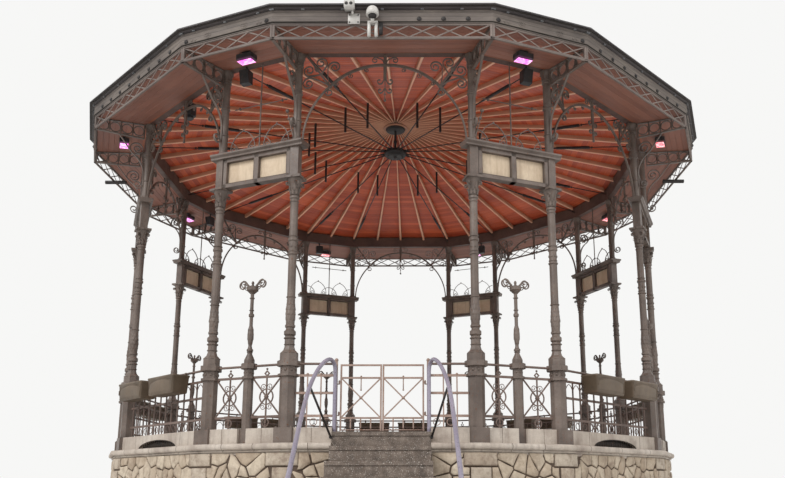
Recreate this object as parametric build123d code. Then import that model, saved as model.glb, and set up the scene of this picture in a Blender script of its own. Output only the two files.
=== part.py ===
from build123d import *
import os
from math import atan2, copysign, cos, degrees, hypot, radians, sin, tan

# A public bandstand: a sixteen-sided stone plinth with a flight of steps, sixteen cast-iron
# columns in eight pairs, a ring beam, and a wide low roof with a latticed valance.
# Millimetres, +Z up, origin on the ground under the middle of the stage. The steps face -Y.
# Each ring has its corners on the radial lines through the columns, so a bay's solid is
# drawn once as a section in (corner radius, height) and run between two of those lines.

# Plan
COLUMN_RADIUS = 5050
PAIR_COUNT = 8
WIDE_HALF_ANGLE = 15.0
PAIR_ANGLE = 360 / PAIR_COUNT
NARROW_HALF_ANGLE = PAIR_ANGLE / 2 - WIDE_HALF_ANGLE
SEAM = 1.0
SEAT = 0.3

# Plinth
WALL_PROUD = 150
WALL_THICKNESS = 520
CELLAR_SLAB = 100
COPING_TOP = 2100
COPING_HEIGHT = 155
COPING_OVERHANG = 90
COPING_NOSE_BULGE = 30
UPSTAND_HEIGHT = 210
UPSTAND_THICKNESS = 230
FLOOR_TOP = 2250
VENT_WIDTH = 820
VENT_HEIGHT = 125
VENT_COVER = 12
VENT_SET_BACK = 70
VENT_RIM = 22

# Steps
STEP_COUNT = 11
STEP_GOING = 300
STAIR_HALF_WIDTH = 670
STAIR_FLARE = 22
TREAD_THICKNESS = 55
TREAD_NOSING = 15
BLOCK_JOINT = 0.5
RISER = FLOOR_TOP / STEP_COUNT

# Column castings
BASE_BLOCK = 270
PEDESTAL_FLATS = 215
PEDESTAL_TOP = 3235
PEDESTAL_RING = 300
RING_HEIGHT = 75
LOWER_RING = 275
LOWER_RING_HEIGHT = 35
SECOND_RAIL = 3035
DRUM_FLATS = 236
DRUM_HEIGHT = 110
BELL_HEIGHT = 92
NECK_FLATS = 128
NECK_HEIGHT = 150
SHAFT_DIAMETER = 116
BULB_DIAMETER = 165
CAPITAL_BOTTOM = 5680
CAPITAL_TOP = 5970
CAPITAL_WIDTH = 250
ABACUS_HEIGHT = 35
BULB_HEIGHT = 95
COLLAR_LEVEL = 147
RELIEF_BOTTOM = 175
RELIEF_TOP = 500
RELIEF_SWELL = 10
SHAFT_RING_LEVEL = 1420
SHAFT_RING_HEIGHT = 60
SHAFT_RING_PROUD = 14
CAPITAL_BELL = 130

# Name boards
PIER_WIDTH = 130
BOARD_THICKNESS = 90
BOARD_CORNICE_BOTTOM = 6440
BOARD_CORNICE_TOP = 6520
BOARD_CORNICE_DEPTH = 260
BOARD_CORNICE_REACH = 150
BOARD_RIM = 60
BOARD_RECESS = 20

# Upper columns and ring beam
UPPER_DIAMETER = 118
UPPER_CAP_WIDTH = 190
UPPER_CAP_HEIGHT = 170
BEAM_BOTTOM = 7950
BEAM_TOP = 8215
BEAM_WIDTH = 120

# Roof
ROOF_SLOPE = 0.2048
EAVE_REACH = 950
BOARD_DECK = 25
ROOF_COVER = 55
CAP_RADIUS = 330
CAP_RIM = 30
CAP_RISE = 220
CAP_TOP_RADIUS = 40
RAFTER_COUNT_WIDE = 4
RAFTER_COUNT_NARROW = 2
RAFTER_WIDTH = 60
RAFTER_DEPTH = 90
RAFTER_WIDTH_AT_HUB = 26
RAFTER_START = 235
RAFTER_SETTLE = 2
HUB_RADIUS = 260
HUB_DEPTH = 60
LOWER_HUB_Z = 8560
LOWER_HUB_RADIUS = 170
LOWER_HUB_DEPTH = 60
KING_ROD = 50
TIE_DIAMETER = 24
TIE_SOCKET_LENGTH = 1500
TIE_SOCKET_DIAMETER = 52
TIE_SEAT_DROP = 125
STRUT_DIAMETER = 46
STRUT_RADIUS = 1850
STRUT_TAIL = 130

# Eaves
FRIEZE_HEIGHT = 130
FRIEZE_THICKNESS = 45
CORNICE_LAP = 15
CORNICE_HEIGHT = 140
CORNICE_OVERHANG = 110
SOFFIT_THICKNESS = 22
VALANCE_HEIGHT = 230
VALANCE_THICKNESS = 30
VALANCE_RAIL = 38
VALANCE_BAR = 22
CELL_COUNT_WIDE = 10
CELL_COUNT_NARROW = 5
CANTILEVER_WIDTH = 46
CANTILEVER_FLANGE = 22
CANTILEVER_CELL_COUNT = 4
CANTILEVER_RING = 14

# Scrollwork. A scroll is a list of moves: (radius, degrees) for an arc, (0, length) for a straight.
IRON = 14
IRON_DEPTH = 30
ARCH_BAR = 26
ARCH_RIB = 38
ARCH_STRUT = 28
ARCH_DISC = 76
JUNCTION_REACH = 477
JUNCTION_DROP = 520
CROWN_DROP = 165
PENDANT_WIDTH = 50
PENDANT_STEM = 390
PENDANT_TIP = 750
DISC_SHARE = 0.55
SMALL_SCROLL_SHARE = 0.38
LARGE_SCROLL = [(600, 20), (0, 100), (98, 110), (68, 180), (44, 180), (26, 120)]
SMALL_SCROLL = [(0, 165), (80, -190), (52, -180), (32, -150)]
JUNCTION_CURL = [(58, 200), (40, 180), (24, 120)]
CROWN_SCROLL = [(70, 70), (0, 60), (48, 110), (34, 180), (20, 150)]
UPPER_CURL = [(250, -20), (40, -170), (24, -120)]
LOWER_CURL = [(200, -20), (32, -170), (20, -120)]
BRACKET_DEPTH = 36
BRACKET_START = 330
BRACKET_LEG = 120
BRACKET_SWEEP = 450
BRACKET_LEAN = 50
BRACKET_FOOT_CURL = [(0, 60), (72, 180), (50, 180), (30, 150)]
BRACKET_SCROLL = [(0, 80), (110, 230), (75, 180), (50, 180), (28, 120)]
BRACKET_ARM = [(900, 12), (0, 250), (110, 60), (0, 110)]
CREST_BASE = 16
CREST_DEPTH = 14
CREST_IRON = 12
CREST_ROUND = 215
CREST_INNER_FOOT = 80
CREST_OUTER_FOOT = 520
CREST_HEIGHT = 370
CREST_CURL = 48
ROD_DIAMETER = 22
CROSS_BAR_LEVEL = 745
CROSS_BAR_DIAMETER = 16
CROSS_BAR_REACH = 490
CROSS_DISC_AT = 375
CROSS_DISC = 46

# Railings
TOP_RAIL = 3198
TOP_RAIL_DIAMETER = 34
FLAT_RAIL = 34
ROSETTE_RAIL = 2790
LOWER_RAIL = 2475
WIDE_BAR_COUNT = 14
BAR = 18
LYRE_BASE = 140
LYRE_FLATS = 134
LYRE_RING = 215
LYRE_LOWER_RING = 180
LYRE_TOP = 4370
LYRE_CUP = 110
LYRE_CUP_RADIUS = 84
LYRE_SHAFT_RADIUS = 25
LYRE_ARM = 22
NARROW_RING = 230
RING_BELOW = 120
DIAMOND = 90

# Planters, lamps and loudspeakers
PLANTER_LENGTH = 810
PLANTER_DEPTH = 300
PLANTER_HEIGHT = 320
PLANTER_DROP = 38
PLANTER_TAPER = 18
PLANTER_WALL = 16
PLANTER_SOIL = 50
PLANTER_NEAR = 345
PLANTER_FAR = 680
HOOK_WIDTH = 30
HOOK_THICKNESS = 5
LAMP_LENGTH = 270
LAMP_WIDTH = 170
LAMP_HEIGHT = 75
LAMP_DROP = 95
LAMP_REACH = 440
SPEAKER_WIDTH = 230
SPEAKER_HEIGHT = 300
SPEAKER_DEPTH = 210
SPEAKER_SHIFT = 290
CAMERA_DIAMETER = 70
CAMERA_LENGTH = 190
TUBE_DIAMETER = 75
TUBE_LENGTH = 420
TUBE_SHIFT = 640

# Gate and handrails
GATE_TOP = 3190
GATE_SECOND = 3000
GATE_LOWER = 2445
GATE_BAR = 24
GATE_POST = 40
GATE_POST_X = 640
GATE_GROUND_GAP = 18
GATE_LEAF_GAP = 8
HINGE_TO_STILE = 14
HINGE_TO_POST = 24
PIN_DIAMETER = 12
EYE_DIAMETER = 24
EYE_HEIGHT = 40
HINGE_PLAY = 1.0
HINGE_INSET = 60
PIN_STAND = 10
SPIKE_LENGTH = 137
LUG_DIAMETER = 18
LUG_HEIGHT = 12
HANDRAIL_DIAMETER = 42
HANDRAIL_GAP = 8
HOOP_RISE = 30
HOOP_LENGTH = 330
HOOP_DROP = 130
HANDRAIL_BENDS = [100, 90, 150, 200]
BRACE_DIAMETER = 22
BRACE_REACH = 480

WALL_OUTER_RADIUS = COLUMN_RADIUS + WALL_PROUD
EAVE_RADIUS = COLUMN_RADIUS + EAVE_REACH
ROOF_EDGE = BEAM_TOP - EAVE_REACH * ROOF_SLOPE
FRIEZE_BOTTOM = ROOF_EDGE - FRIEZE_HEIGHT
CORNICE_BOTTOM = ROOF_EDGE - CORNICE_LAP
CORNICE_TOP = CORNICE_BOTTOM + CORNICE_HEIGHT
VALANCE_BOTTOM = FRIEZE_BOTTOM - VALANCE_HEIGHT
COPING_BOTTOM = COPING_TOP - COPING_HEIGHT
UPSTAND_TOP = COPING_TOP + UPSTAND_HEIGHT
WALL_INNER_RADIUS = WALL_OUTER_RADIUS - WALL_THICKNESS
WIDE_BAYS = [PAIR_ANGLE * k for k in range(PAIR_COUNT)]
NARROW_BAYS = [PAIR_ANGLE * (k + 0.5) for k in range(PAIR_COUNT)]
COLUMN_ANGLES = [a + s * NARROW_HALF_ANGLE for a in NARROW_BAYS for s in (-1, 1)]
WIDE_DISTANCE = COLUMN_RADIUS * cos(radians(WIDE_HALF_ANGLE))
NARROW_DISTANCE = COLUMN_RADIUS * cos(radians(NARROW_HALF_ANGLE))
WIDE_SPAN = 2 * COLUMN_RADIUS * sin(radians(WIDE_HALF_ANGLE))
NARROW_SPAN = 2 * COLUMN_RADIUS * sin(radians(NARROW_HALF_ANGLE))


def turned(shape, angle):
    """The shape, drawn at the front, turned about the stage to a bay or column."""
    return Rot(0, 0, angle) * shape


def polar(radius, angle, z):
    """Point on the radial line at an angle from the front."""
    return (radius * sin(radians(angle)), -radius * cos(radians(angle)), z)


def section(corners, angle, shift):
    """Closed wire of (radius, height) corners on a radial line, moved sideways by the seam.
    A corner with four numbers ends an arc that passes through its last two."""
    def place(r, z):
        x, y, height = polar(r, angle, z)
        return (x + shift, y, height)
    edges = []
    last = corners[-1]
    for corner in corners:
        start, end = place(last[0], last[1]), place(corner[0], corner[1])
        if len(corner) == 4:
            edges.append(Edge.make_three_point_arc(start, place(corner[2], corner[3]), end))
        else:
            edges.append(Edge.make_line(start, end))
        last = corner
    return Wire(edges)


def bay_solid(corners, half_angle):
    """Front bay of a ring: the section run from one corner line to the other."""
    wires = [section(corners, side * half_angle, -side * SEAM / 2) for side in (-1, 1)]
    return Solid.make_loft(wires, ruled=True)


def ring(corners, skip_front=False):
    """Every bay of a ring as its own solid, parted by the seams at the corners."""
    wide = bay_solid(corners, WIDE_HALF_ANGLE)
    narrow = bay_solid(corners, NARROW_HALF_ANGLE)
    bays = WIDE_BAYS[1:] if skip_front else WIDE_BAYS
    return [turned(wide, a) for a in bays] + [turned(narrow, a) for a in NARROW_BAYS]


def box(x0, x1, y0, y1, z0, z1):
    """Upright block between two corners."""
    return Pos((x0 + x1) / 2, (y0 + y1) / 2, (z0 + z1) / 2) * Box(x1 - x0, y1 - y0, z1 - z0)


def octagon(flats, z0, z1):
    """Eight-sided prism with a flat to the front."""
    outline = RegularPolygon(flats / 2, 8, major_radius=False)
    return extrude(Plane.XY.offset(z0) * Rot(0, 0, 22.5) * outline, z1 - z0)


def turned_profile(points):
    """Body of revolution about Z from (radius, height) points, closed on the axis."""
    corners = [(0, points[0][1])] + points + [(0, points[-1][1])]
    outline = make_face(Polyline(*[(r, 0, z) for r, z in corners], close=True).edges())
    return revolve(outline, Axis.Z)


def bar_between(start, end, width, depth):
    """Square-ended bar between two points in the X-Z plane, depth along Y."""
    length = ((end[0] - start[0]) ** 2 + (end[1] - start[1]) ** 2) ** 0.5
    middle = ((start[0] + end[0]) / 2, (start[1] + end[1]) / 2)
    along = Vector(end[0] - start[0], 0, end[1] - start[1])
    plane = Plane(origin=(middle[0], 0, middle[1]), x_dir=along, z_dir=(0, -1, 0))
    return plane * Box(length, width, depth)


def rod(start, end, diameter):
    """Round rod between two points."""
    start, end = Vector(*start), Vector(*end)
    plane = Plane(origin=start, z_dir=end - start)
    return plane * Cylinder(diameter / 2, (end - start).length,
                            align=(Align.CENTER, Align.CENTER, Align.MIN))


def sheet_wire(corners):
    """Outline of (x, z) corners standing in the X-Z plane."""
    return make_face(Polyline(*[(x, 0, z) for x, z in corners], close=True).edges())


def strap(start, heading, moves, width, depth):
    """Flat iron standing in the X-Z plane, from a start point and heading in degrees. Each move
    is (0, length) for a straight run or (radius, degrees) for an arc that turns left if the
    degrees are positive, and it is tangent to the move before it."""
    x, z = start
    along = radians(heading)
    edges = {1: [], -1: []}
    for radius, amount in moves:
        turn = 0 if radius == 0 else radians(amount)
        bend = copysign(radius, turn)
        for side in (1, -1):
            offset = side * width / 2
            points = []
            for share in (0, 0.5, 1):
                now = along + turn * share
                if radius == 0:
                    mx, mz = x + amount * share * cos(along), z + amount * share * sin(along)
                else:
                    mx = x + bend * (sin(now) - sin(along))
                    mz = z - bend * (cos(now) - cos(along))
                points.append((mx - offset * sin(now), 0, mz + offset * cos(now)))
            if radius == 0:
                edges[side].append(Edge.make_line(points[0], points[2]))
            else:
                edges[side].append(Edge.make_three_point_arc(*points))
        if radius == 0:
            x, z = x + amount * cos(along), z + amount * sin(along)
        else:
            x = x + bend * (sin(along + turn) - sin(along))
            z = z - bend * (cos(along + turn) - cos(along))
        along += turn
    ends = [Edge.make_line(edges[1][i] @ at, edges[-1][i] @ at) for i, at in ((0, 0), (-1, 1))]
    return extrude(make_face(edges[1] + edges[-1] + ends), depth / 2, both=True)


def arc_to(start, heading, end):
    """The one arc that leaves the start at a heading and meets the end, as a move for a strap."""
    dx, dz = end[0] - start[0], end[1] - start[1]
    lean = (degrees(atan2(dz, dx)) - heading + 180) % 360 - 180
    return (hypot(dx, dz) / (2 * abs(sin(radians(lean)))), 2 * lean)


def flat_ring(centre, diameter, wall, depth):
    """Round ring standing in the X-Z plane."""
    plane = Plane(origin=(centre[0], 0, centre[1]), z_dir=(0, -1, 0))
    return plane * (Cylinder(diameter / 2, depth) - Cylinder(diameter / 2 - wall, depth))


def flat_disc(centre, diameter, depth):
    """Round disc standing in the X-Z plane."""
    return Plane(origin=(centre[0], 0, centre[1]), z_dir=(0, -1, 0)) * Cylinder(diameter / 2, depth)


def band(radius, middle, proud, height):
    """Points of a ring that stands proud of a shaft, with sloped edges."""
    return [(radius, middle - height / 2), (radius + proud, middle - height / 4),
            (radius + proud, middle + height / 4), (radius, middle + height / 2)]


def roof_z(radius):
    """Underside of the roof boards over a corner line."""
    return BEAM_TOP + (COLUMN_RADIUS - radius) * ROOF_SLOPE


# Plinth

def cellar_floor():
    """Slab that closes the cellar and rests on the ground inside the wall."""
    corners = [polar(WALL_INNER_RADIUS - SEAM, a, 0) for a in COLUMN_ANGLES]
    return [extrude(make_face(Polyline(*corners, close=True).edges()), CELLAR_SLAB)]


def plinth_wall():
    """Rubble wall with dressed corners, one length to a bay."""
    return ring([(WALL_INNER_RADIUS, 0), (WALL_OUTER_RADIUS, 0),
                 (WALL_OUTER_RADIUS, COPING_BOTTOM), (WALL_INNER_RADIUS, COPING_BOTTOM)])


def beside_stair(solid):
    """The two lengths of a front bay left of and right of the steps."""
    tall = CORNICE_TOP
    edge = STAIR_HALF_WIDTH + SEAM
    far = COLUMN_RADIUS
    return [solid & box(edge, far, -2 * far, 0, 0, tall),
            solid & box(-far, -edge, -2 * far, 0, 0, tall)]


def plinth_coping():
    """Rounded coping over the wall, cut where the steps come up."""
    nose = WALL_OUTER_RADIUS + COPING_OVERHANG
    edge = nose - COPING_NOSE_BULGE
    corners = [(WALL_INNER_RADIUS, COPING_TOP), (WALL_INNER_RADIUS, COPING_BOTTOM),
               (edge, COPING_BOTTOM), (edge, COPING_TOP, nose, COPING_TOP - COPING_HEIGHT / 2)]
    return ring(corners, True) + beside_stair(bay_solid(corners, WIDE_HALF_ANGLE))


def column_clearance(half_angle):
    """Room for the column feet at both ends of a front bay, with the seat gap all round."""
    gap = 2 * SEAT
    half = BASE_BLOCK / 2 + SEAT
    block = box(-half, half, -half, half, COPING_TOP - SEAM, UPSTAND_TOP)
    foot = (block + octagon(PEDESTAL_FLATS + gap, UPSTAND_TOP, PEDESTAL_TOP)
            + octagon(LOWER_RING + gap, SECOND_RAIL - LOWER_RING_HEIGHT / 2 - SEAT,
                      SECOND_RAIL + LOWER_RING_HEIGHT / 2 + SEAT)
            + octagon(PEDESTAL_RING + gap, PEDESTAL_TOP - RING_HEIGHT - SEAT, PEDESTAL_TOP))
    foot = Pos(0, -COLUMN_RADIUS, 0) * foot
    return [turned(foot, side * half_angle) for side in (-1, 1)]


def lyre_clearance():
    """Room for a lyre post's foot in the middle of a front bay."""
    gap = 2 * SEAT
    half = LYRE_BASE / 2 + SEAT
    foot = (box(-half, half, -half, half, COPING_TOP - SEAM, UPSTAND_TOP)
            + octagon(LYRE_FLATS + gap, UPSTAND_TOP, PEDESTAL_TOP)
            + octagon(LYRE_LOWER_RING + gap, SECOND_RAIL - LOWER_RING_HEIGHT / 2 - SEAT,
                      SECOND_RAIL + LOWER_RING_HEIGHT / 2 + SEAT)
            + octagon(LYRE_RING + gap, PEDESTAL_TOP - RING_HEIGHT - SEAT, PEDESTAL_TOP))
    return Pos(0, -NARROW_DISTANCE, 0) * foot


def cleared(shape, tools):
    """The shape with each tool cut away."""
    for tool in tools:
        shape = shape - tool
    return shape


def vent_hole():
    """Half-moon opening through a wide upstand block."""
    left, right = (-VENT_WIDTH / 2, 0, COPING_TOP), (VENT_WIDTH / 2, 0, COPING_TOP)
    crown = Edge.make_three_point_arc(left, (0, 0, COPING_TOP + VENT_HEIGHT), right)
    face = make_face([crown, Edge.make_line(right, left)])
    return Pos(0, -WIDE_DISTANCE, 0) * extrude(face, UPSTAND_THICKNESS, both=True)


def vent_covers():
    """Dark plate with an arched rim, set back in each half-moon vent."""
    def half_moon(inset, y0, y1):
        reach, rise = VENT_WIDTH / 2 - SEAT - 2 * inset, VENT_HEIGHT - SEAT - inset
        left, right = (-reach, 0, COPING_TOP + SEAT), (reach, 0, COPING_TOP + SEAT)
        crown = Edge.make_three_point_arc(left, (0, 0, COPING_TOP + rise), right)
        face = Pos(0, -WIDE_DISTANCE - UPSTAND_THICKNESS / 2 + y0, 0) * make_face(
            [crown, Edge.make_line(right, left)])
        return extrude(face, y1 - y0, dir=(0, 1, 0))
    back = VENT_SET_BACK
    cover = half_moon(1, back - VENT_RIM, back + VENT_COVER) - half_moon(VENT_RIM, back - VENT_RIM, back)
    return [turned(cover, a) for a in WIDE_BAYS[1:]]


def upstand_blocks():
    """Dressed blocks on the coping between the column blocks; the wide ones have a half-moon vent."""
    deep = UPSTAND_THICKNESS / 2
    half = WIDE_SPAN / 2
    wide = box(-half, half, -WIDE_DISTANCE - deep, -WIDE_DISTANCE + deep, COPING_TOP, UPSTAND_TOP)
    wide = cleared(wide, column_clearance(WIDE_HALF_ANGLE))
    half = NARROW_SPAN / 2
    narrow = box(-half, half, -NARROW_DISTANCE - deep, -NARROW_DISTANCE + deep, COPING_TOP, UPSTAND_TOP)
    narrow = cleared(narrow, column_clearance(NARROW_HALF_ANGLE) + [lyre_clearance()])
    solids = [turned(wide - vent_hole(), a) for a in WIDE_BAYS[1:]] + beside_stair(wide)
    return solids + [turned(narrow, a) for a in NARROW_BAYS]


def parallel_corners(offset, z):
    """Corners of the sixteen-sided outline that lies a set distance inside the column lines."""
    wide, narrow = WIDE_DISTANCE - offset, NARROW_DISTANCE - offset
    turn = radians(PAIR_ANGLE / 2)
    x = (narrow - wide * cos(turn)) / sin(turn)
    corners = []
    for angle in WIDE_BAYS:
        for side in (-1, 1):
            point = Vector(side * x, -wide, z).rotate(Axis.Z, angle)
            corners.append((point.X, point.Y, point.Z))
    return corners


def stage_floor():
    """Stage slab inside the upstand blocks, carried on the coping's inner edge."""
    corners = parallel_corners(UPSTAND_THICKNESS / 2 + SEAT, COPING_TOP)
    slab = extrude(make_face(Polyline(*corners, close=True).edges()), FLOOR_TOP - COPING_TOP)
    half = BASE_BLOCK / 2 + SEAT
    block = box(-half, half, -COLUMN_RADIUS - half, -COLUMN_RADIUS + half, COPING_TOP - SEAM, UPSTAND_TOP)
    return [cleared(slab, [turned(block, a) for a in COLUMN_ANGLES])]


def stair_front():
    """Face of the plinth wall in the front bay, where the flight starts."""
    return -WALL_OUTER_RADIUS * cos(radians(WIDE_HALF_ANGLE))


def stair_landing():
    """Threshold slab that crosses the wall at the head of the steps."""
    inner = -WIDE_DISTANCE + UPSTAND_THICKNESS / 2
    half = STAIR_HALF_WIDTH
    lower = box(-half, half, stair_front(), inner, COPING_BOTTOM, FLOOR_TOP)
    nosing = box(-half, half, stair_front() - TREAD_NOSING, stair_front(),
                 FLOOR_TOP - TREAD_THICKNESS, FLOOR_TOP)
    return [lower + nosing]


def stair_block_outline(index):
    """Plan corners of a step: the flight widens a little with every step down."""
    near = stair_front() - index * STEP_GOING
    far = near - STEP_GOING
    half = STAIR_HALF_WIDTH + index * STAIR_FLARE
    return near, far, half


def stair_blocks():
    """Stone blocks under the treads, each standing on the ground."""
    solids = []
    for index in range(STEP_COUNT - 1):
        near, far, half = stair_block_outline(index)
        top = FLOOR_TOP - (index + 1) * RISER - TREAD_THICKNESS
        solids.append(box(-half, half, far + BLOCK_JOINT, near, 0, top))
    return solids


def stair_treads():
    """Granite treads bedded on the blocks, with a small nosing."""
    solids = []
    for index in range(STEP_COUNT - 1):
        near, far, half = stair_block_outline(index)
        top = FLOOR_TOP - (index + 1) * RISER
        solids.append(box(-half, half, far - TREAD_NOSING, near - SEAM, top - TREAD_THICKNESS, top))
    return solids


# Columns

def pedestals():
    """Block, eight-sided pedestal with two rings, drum and bell under each column."""
    block = box(-BASE_BLOCK / 2, BASE_BLOCK / 2, -BASE_BLOCK / 2, BASE_BLOCK / 2, COPING_TOP, UPSTAND_TOP)
    bell_bottom = PEDESTAL_TOP + DRUM_HEIGHT
    bell = loft([Plane.XY.offset(bell_bottom) * Rot(0, 0, 22.5)
                 * RegularPolygon(DRUM_FLATS / 2, 8, major_radius=False),
                 Plane.XY.offset(bell_bottom + BELL_HEIGHT / 2) * Rot(0, 0, 22.5)
                 * RegularPolygon((DRUM_FLATS + 3 * NECK_FLATS) / 8, 8, major_radius=False),
                 Plane.XY.offset(bell_bottom + BELL_HEIGHT) * Rot(0, 0, 22.5)
                 * RegularPolygon(NECK_FLATS / 2, 8, major_radius=False)], ruled=True)
    body = (block + octagon(PEDESTAL_FLATS, UPSTAND_TOP, PEDESTAL_TOP - RING_HEIGHT)
            + octagon(LOWER_RING, SECOND_RAIL - LOWER_RING_HEIGHT / 2, SECOND_RAIL + LOWER_RING_HEIGHT / 2)
            + octagon(PEDESTAL_RING, PEDESTAL_TOP - RING_HEIGHT, PEDESTAL_TOP)
            + octagon(DRUM_FLATS, PEDESTAL_TOP, bell_bottom) + bell
            + octagon(NECK_FLATS, bell_bottom + BELL_HEIGHT, NECK_TOP))
    body = Pos(0, -COLUMN_RADIUS, 0) * body
    return [turned(body, a) for a in COLUMN_ANGLES]


NECK_TOP = PEDESTAL_TOP + DRUM_HEIGHT + BELL_HEIGHT + NECK_HEIGHT


def column_shaft():
    """Ringed shaft with a bulb at its foot and a belled capital under a square abacus."""
    r = SHAFT_DIAMETER / 2
    foot = NECK_TOP
    profile = band(r, foot + BULB_HEIGHT / 2, BULB_DIAMETER / 2 - r, BULB_HEIGHT)
    profile += band(r, foot + COLLAR_LEVEL, SHAFT_RING_PROUD, SHAFT_RING_HEIGHT * 0.9)
    profile += [(r, foot + RELIEF_BOTTOM), (r + RELIEF_SWELL, foot + (RELIEF_BOTTOM + RELIEF_TOP) / 2),
                (r, foot + RELIEF_TOP)]
    profile += band(r, foot + SHAFT_RING_LEVEL, SHAFT_RING_PROUD, SHAFT_RING_HEIGHT)
    profile += band(r, CAPITAL_BOTTOM - SHAFT_RING_HEIGHT / 2, SHAFT_RING_PROUD, SHAFT_RING_HEIGHT)
    profile += [(r + SHAFT_RING_PROUD, CAPITAL_BOTTOM + CAPITAL_BELL),
                (CAPITAL_WIDTH / 2 - SHAFT_RING_PROUD, CAPITAL_TOP - ABACUS_HEIGHT)]
    half = CAPITAL_WIDTH / 2
    abacus = box(-half, half, -half, half, CAPITAL_TOP - ABACUS_HEIGHT, CAPITAL_TOP)
    return Pos(0, -COLUMN_RADIUS, 0) * (turned_profile(profile) + abacus)


def upper_columns():
    """Round column from each board's shelf up to the ring beam."""
    r = UPPER_DIAMETER / 2
    cap = UPPER_CAP_WIDTH / 2
    foot, high = BOARD_CORNICE_TOP, BEAM_BOTTOM - UPPER_CAP_HEIGHT
    proud = SHAFT_RING_PROUD
    profile = [(r + proud, foot), (r + proud, foot + 0.7 * SHAFT_RING_HEIGHT), (r, foot + SHAFT_RING_HEIGHT)]
    profile += band(r, high + SHAFT_RING_HEIGHT / 4, proud, SHAFT_RING_HEIGHT / 2)
    profile += [(cap, BEAM_BOTTOM - SHAFT_RING_HEIGHT / 2), (cap, BEAM_BOTTOM)]
    body = Pos(0, -COLUMN_RADIUS, 0) * turned_profile(profile)
    return [turned(body, a) for a in COLUMN_ANGLES]


def column_piers():
    """Square piers on the capitals, at the ends of the name boards."""
    half = PIER_WIDTH / 2
    pier = box(-half, half, -COLUMN_RADIUS - half, -COLUMN_RADIUS + half, CAPITAL_TOP, BOARD_CORNICE_BOTTOM)
    return [turned(pier, a) for a in COLUMN_ANGLES]


def name_board(angle):
    """Blank framed board between two piers, both faces recessed each side of a mullion."""
    reach = NARROW_SPAN / 2 - PIER_WIDTH / 2
    half = BOARD_THICKNESS / 2
    top = BOARD_CORNICE_BOTTOM
    end = NARROW_SPAN / 2
    board = box(-end, end, -NARROW_DISTANCE - half, -NARROW_DISTANCE + half, CAPITAL_TOP, top)
    room = PIER_WIDTH / 2 + SEAT
    pier = box(-room, room, -COLUMN_RADIUS - room, -COLUMN_RADIUS + room, CAPITAL_TOP - SEAM, top + SEAM)
    board = cleared(board, [turned(pier, side * NARROW_HALF_ANGLE) for side in (-1, 1)])
    for side in (-1, 1):
        x0, x1 = sorted((side * BOARD_RIM / 2, side * (reach - BOARD_RIM)))
        for face in (-1, 1):
            y = -NARROW_DISTANCE + face * half
            board -= box(x0, x1, y - BOARD_RECESS, y + BOARD_RECESS,
                         CAPITAL_TOP + BOARD_RIM, top - BOARD_RIM)
    return turned(board, angle)


def board_cornice(angle):
    """Moulded shelf over the board and both piers, which carries the upper columns."""
    depth = BOARD_CORNICE_DEPTH / 2
    low, high = BOARD_CORNICE_BOTTOM, BOARD_CORNICE_TOP
    step = (high - low) / 3
    corners = [(-depth * 0.75, low), (depth * 0.75, low), (depth * 0.75, low + step),
               (depth, low + 2 * step), (depth, high), (-depth, high), (-depth, low + 2 * step),
               (-depth * 0.75, low + step)]
    face = make_face(Polyline(*[(0, y - NARROW_DISTANCE, z) for y, z in corners], close=True).edges())
    reach = NARROW_SPAN / 2 + BOARD_CORNICE_REACH
    shelf = extrude(face, reach, both=True)
    return turned(shelf, angle)


# Lyre posts

def lyre_posts():
    """Small ringed post with a two-armed top, in the middle of each narrow bay."""
    half = LYRE_BASE / 2
    block = box(-half, half, -half, half, COPING_TOP, UPSTAND_TOP)
    body = (block + octagon(LYRE_FLATS, UPSTAND_TOP, PEDESTAL_TOP - RING_HEIGHT)
            + octagon(LYRE_RING, PEDESTAL_TOP - RING_HEIGHT, PEDESTAL_TOP)
            + octagon(LYRE_LOWER_RING, SECOND_RAIL - LOWER_RING_HEIGHT / 2,
                      SECOND_RAIL + LOWER_RING_HEIGHT / 2))
    top, r = PEDESTAL_TOP, LYRE_SHAFT_RADIUS
    swell, neck = BULB_DIAMETER / 4, 1.3 * LYRE_SHAFT_RADIUS
    collar = top + NECK_HEIGHT + BULB_HEIGHT / 2
    body += turned_profile([(3 * r, top), (3 * r, top + DRUM_HEIGHT / 2), (neck, top + NECK_HEIGHT)]
                           + band(neck, collar, SHAFT_RING_PROUD, BULB_HEIGHT / 2)
                           + [(r, top + RELIEF_BOTTOM * 1.5), (swell, top + RELIEF_TOP * 0.8),
                              (swell, top + RELIEF_TOP), (r, top + RELIEF_TOP * 1.1)]
                           + band(r, top + SHAFT_RING_LEVEL / 2, SHAFT_RING_PROUD, SHAFT_RING_HEIGHT)
                           + [(r, LYRE_TOP - LYRE_CUP), (LYRE_CUP_RADIUS, LYRE_TOP - LYRE_CUP / 2),
                              (LYRE_CUP_RADIUS, LYRE_TOP)])
    arm = strap((LYRE_CUP_RADIUS * 0.7, LYRE_TOP - LYRE_ARM), 80,
                [(LYRE_CUP, -35), (0, LYRE_CUP / 2), (LYRE_CUP / 2, -200), (LYRE_CUP / 3, -120)],
                LYRE_ARM * 0.7, LYRE_ARM)
    body += arm
    body += mirror(arm, Plane.YZ)
    body = Pos(0, -NARROW_DISTANCE, 0) * body
    return [turned(body, a) for a in NARROW_BAYS]


# Railings

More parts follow.
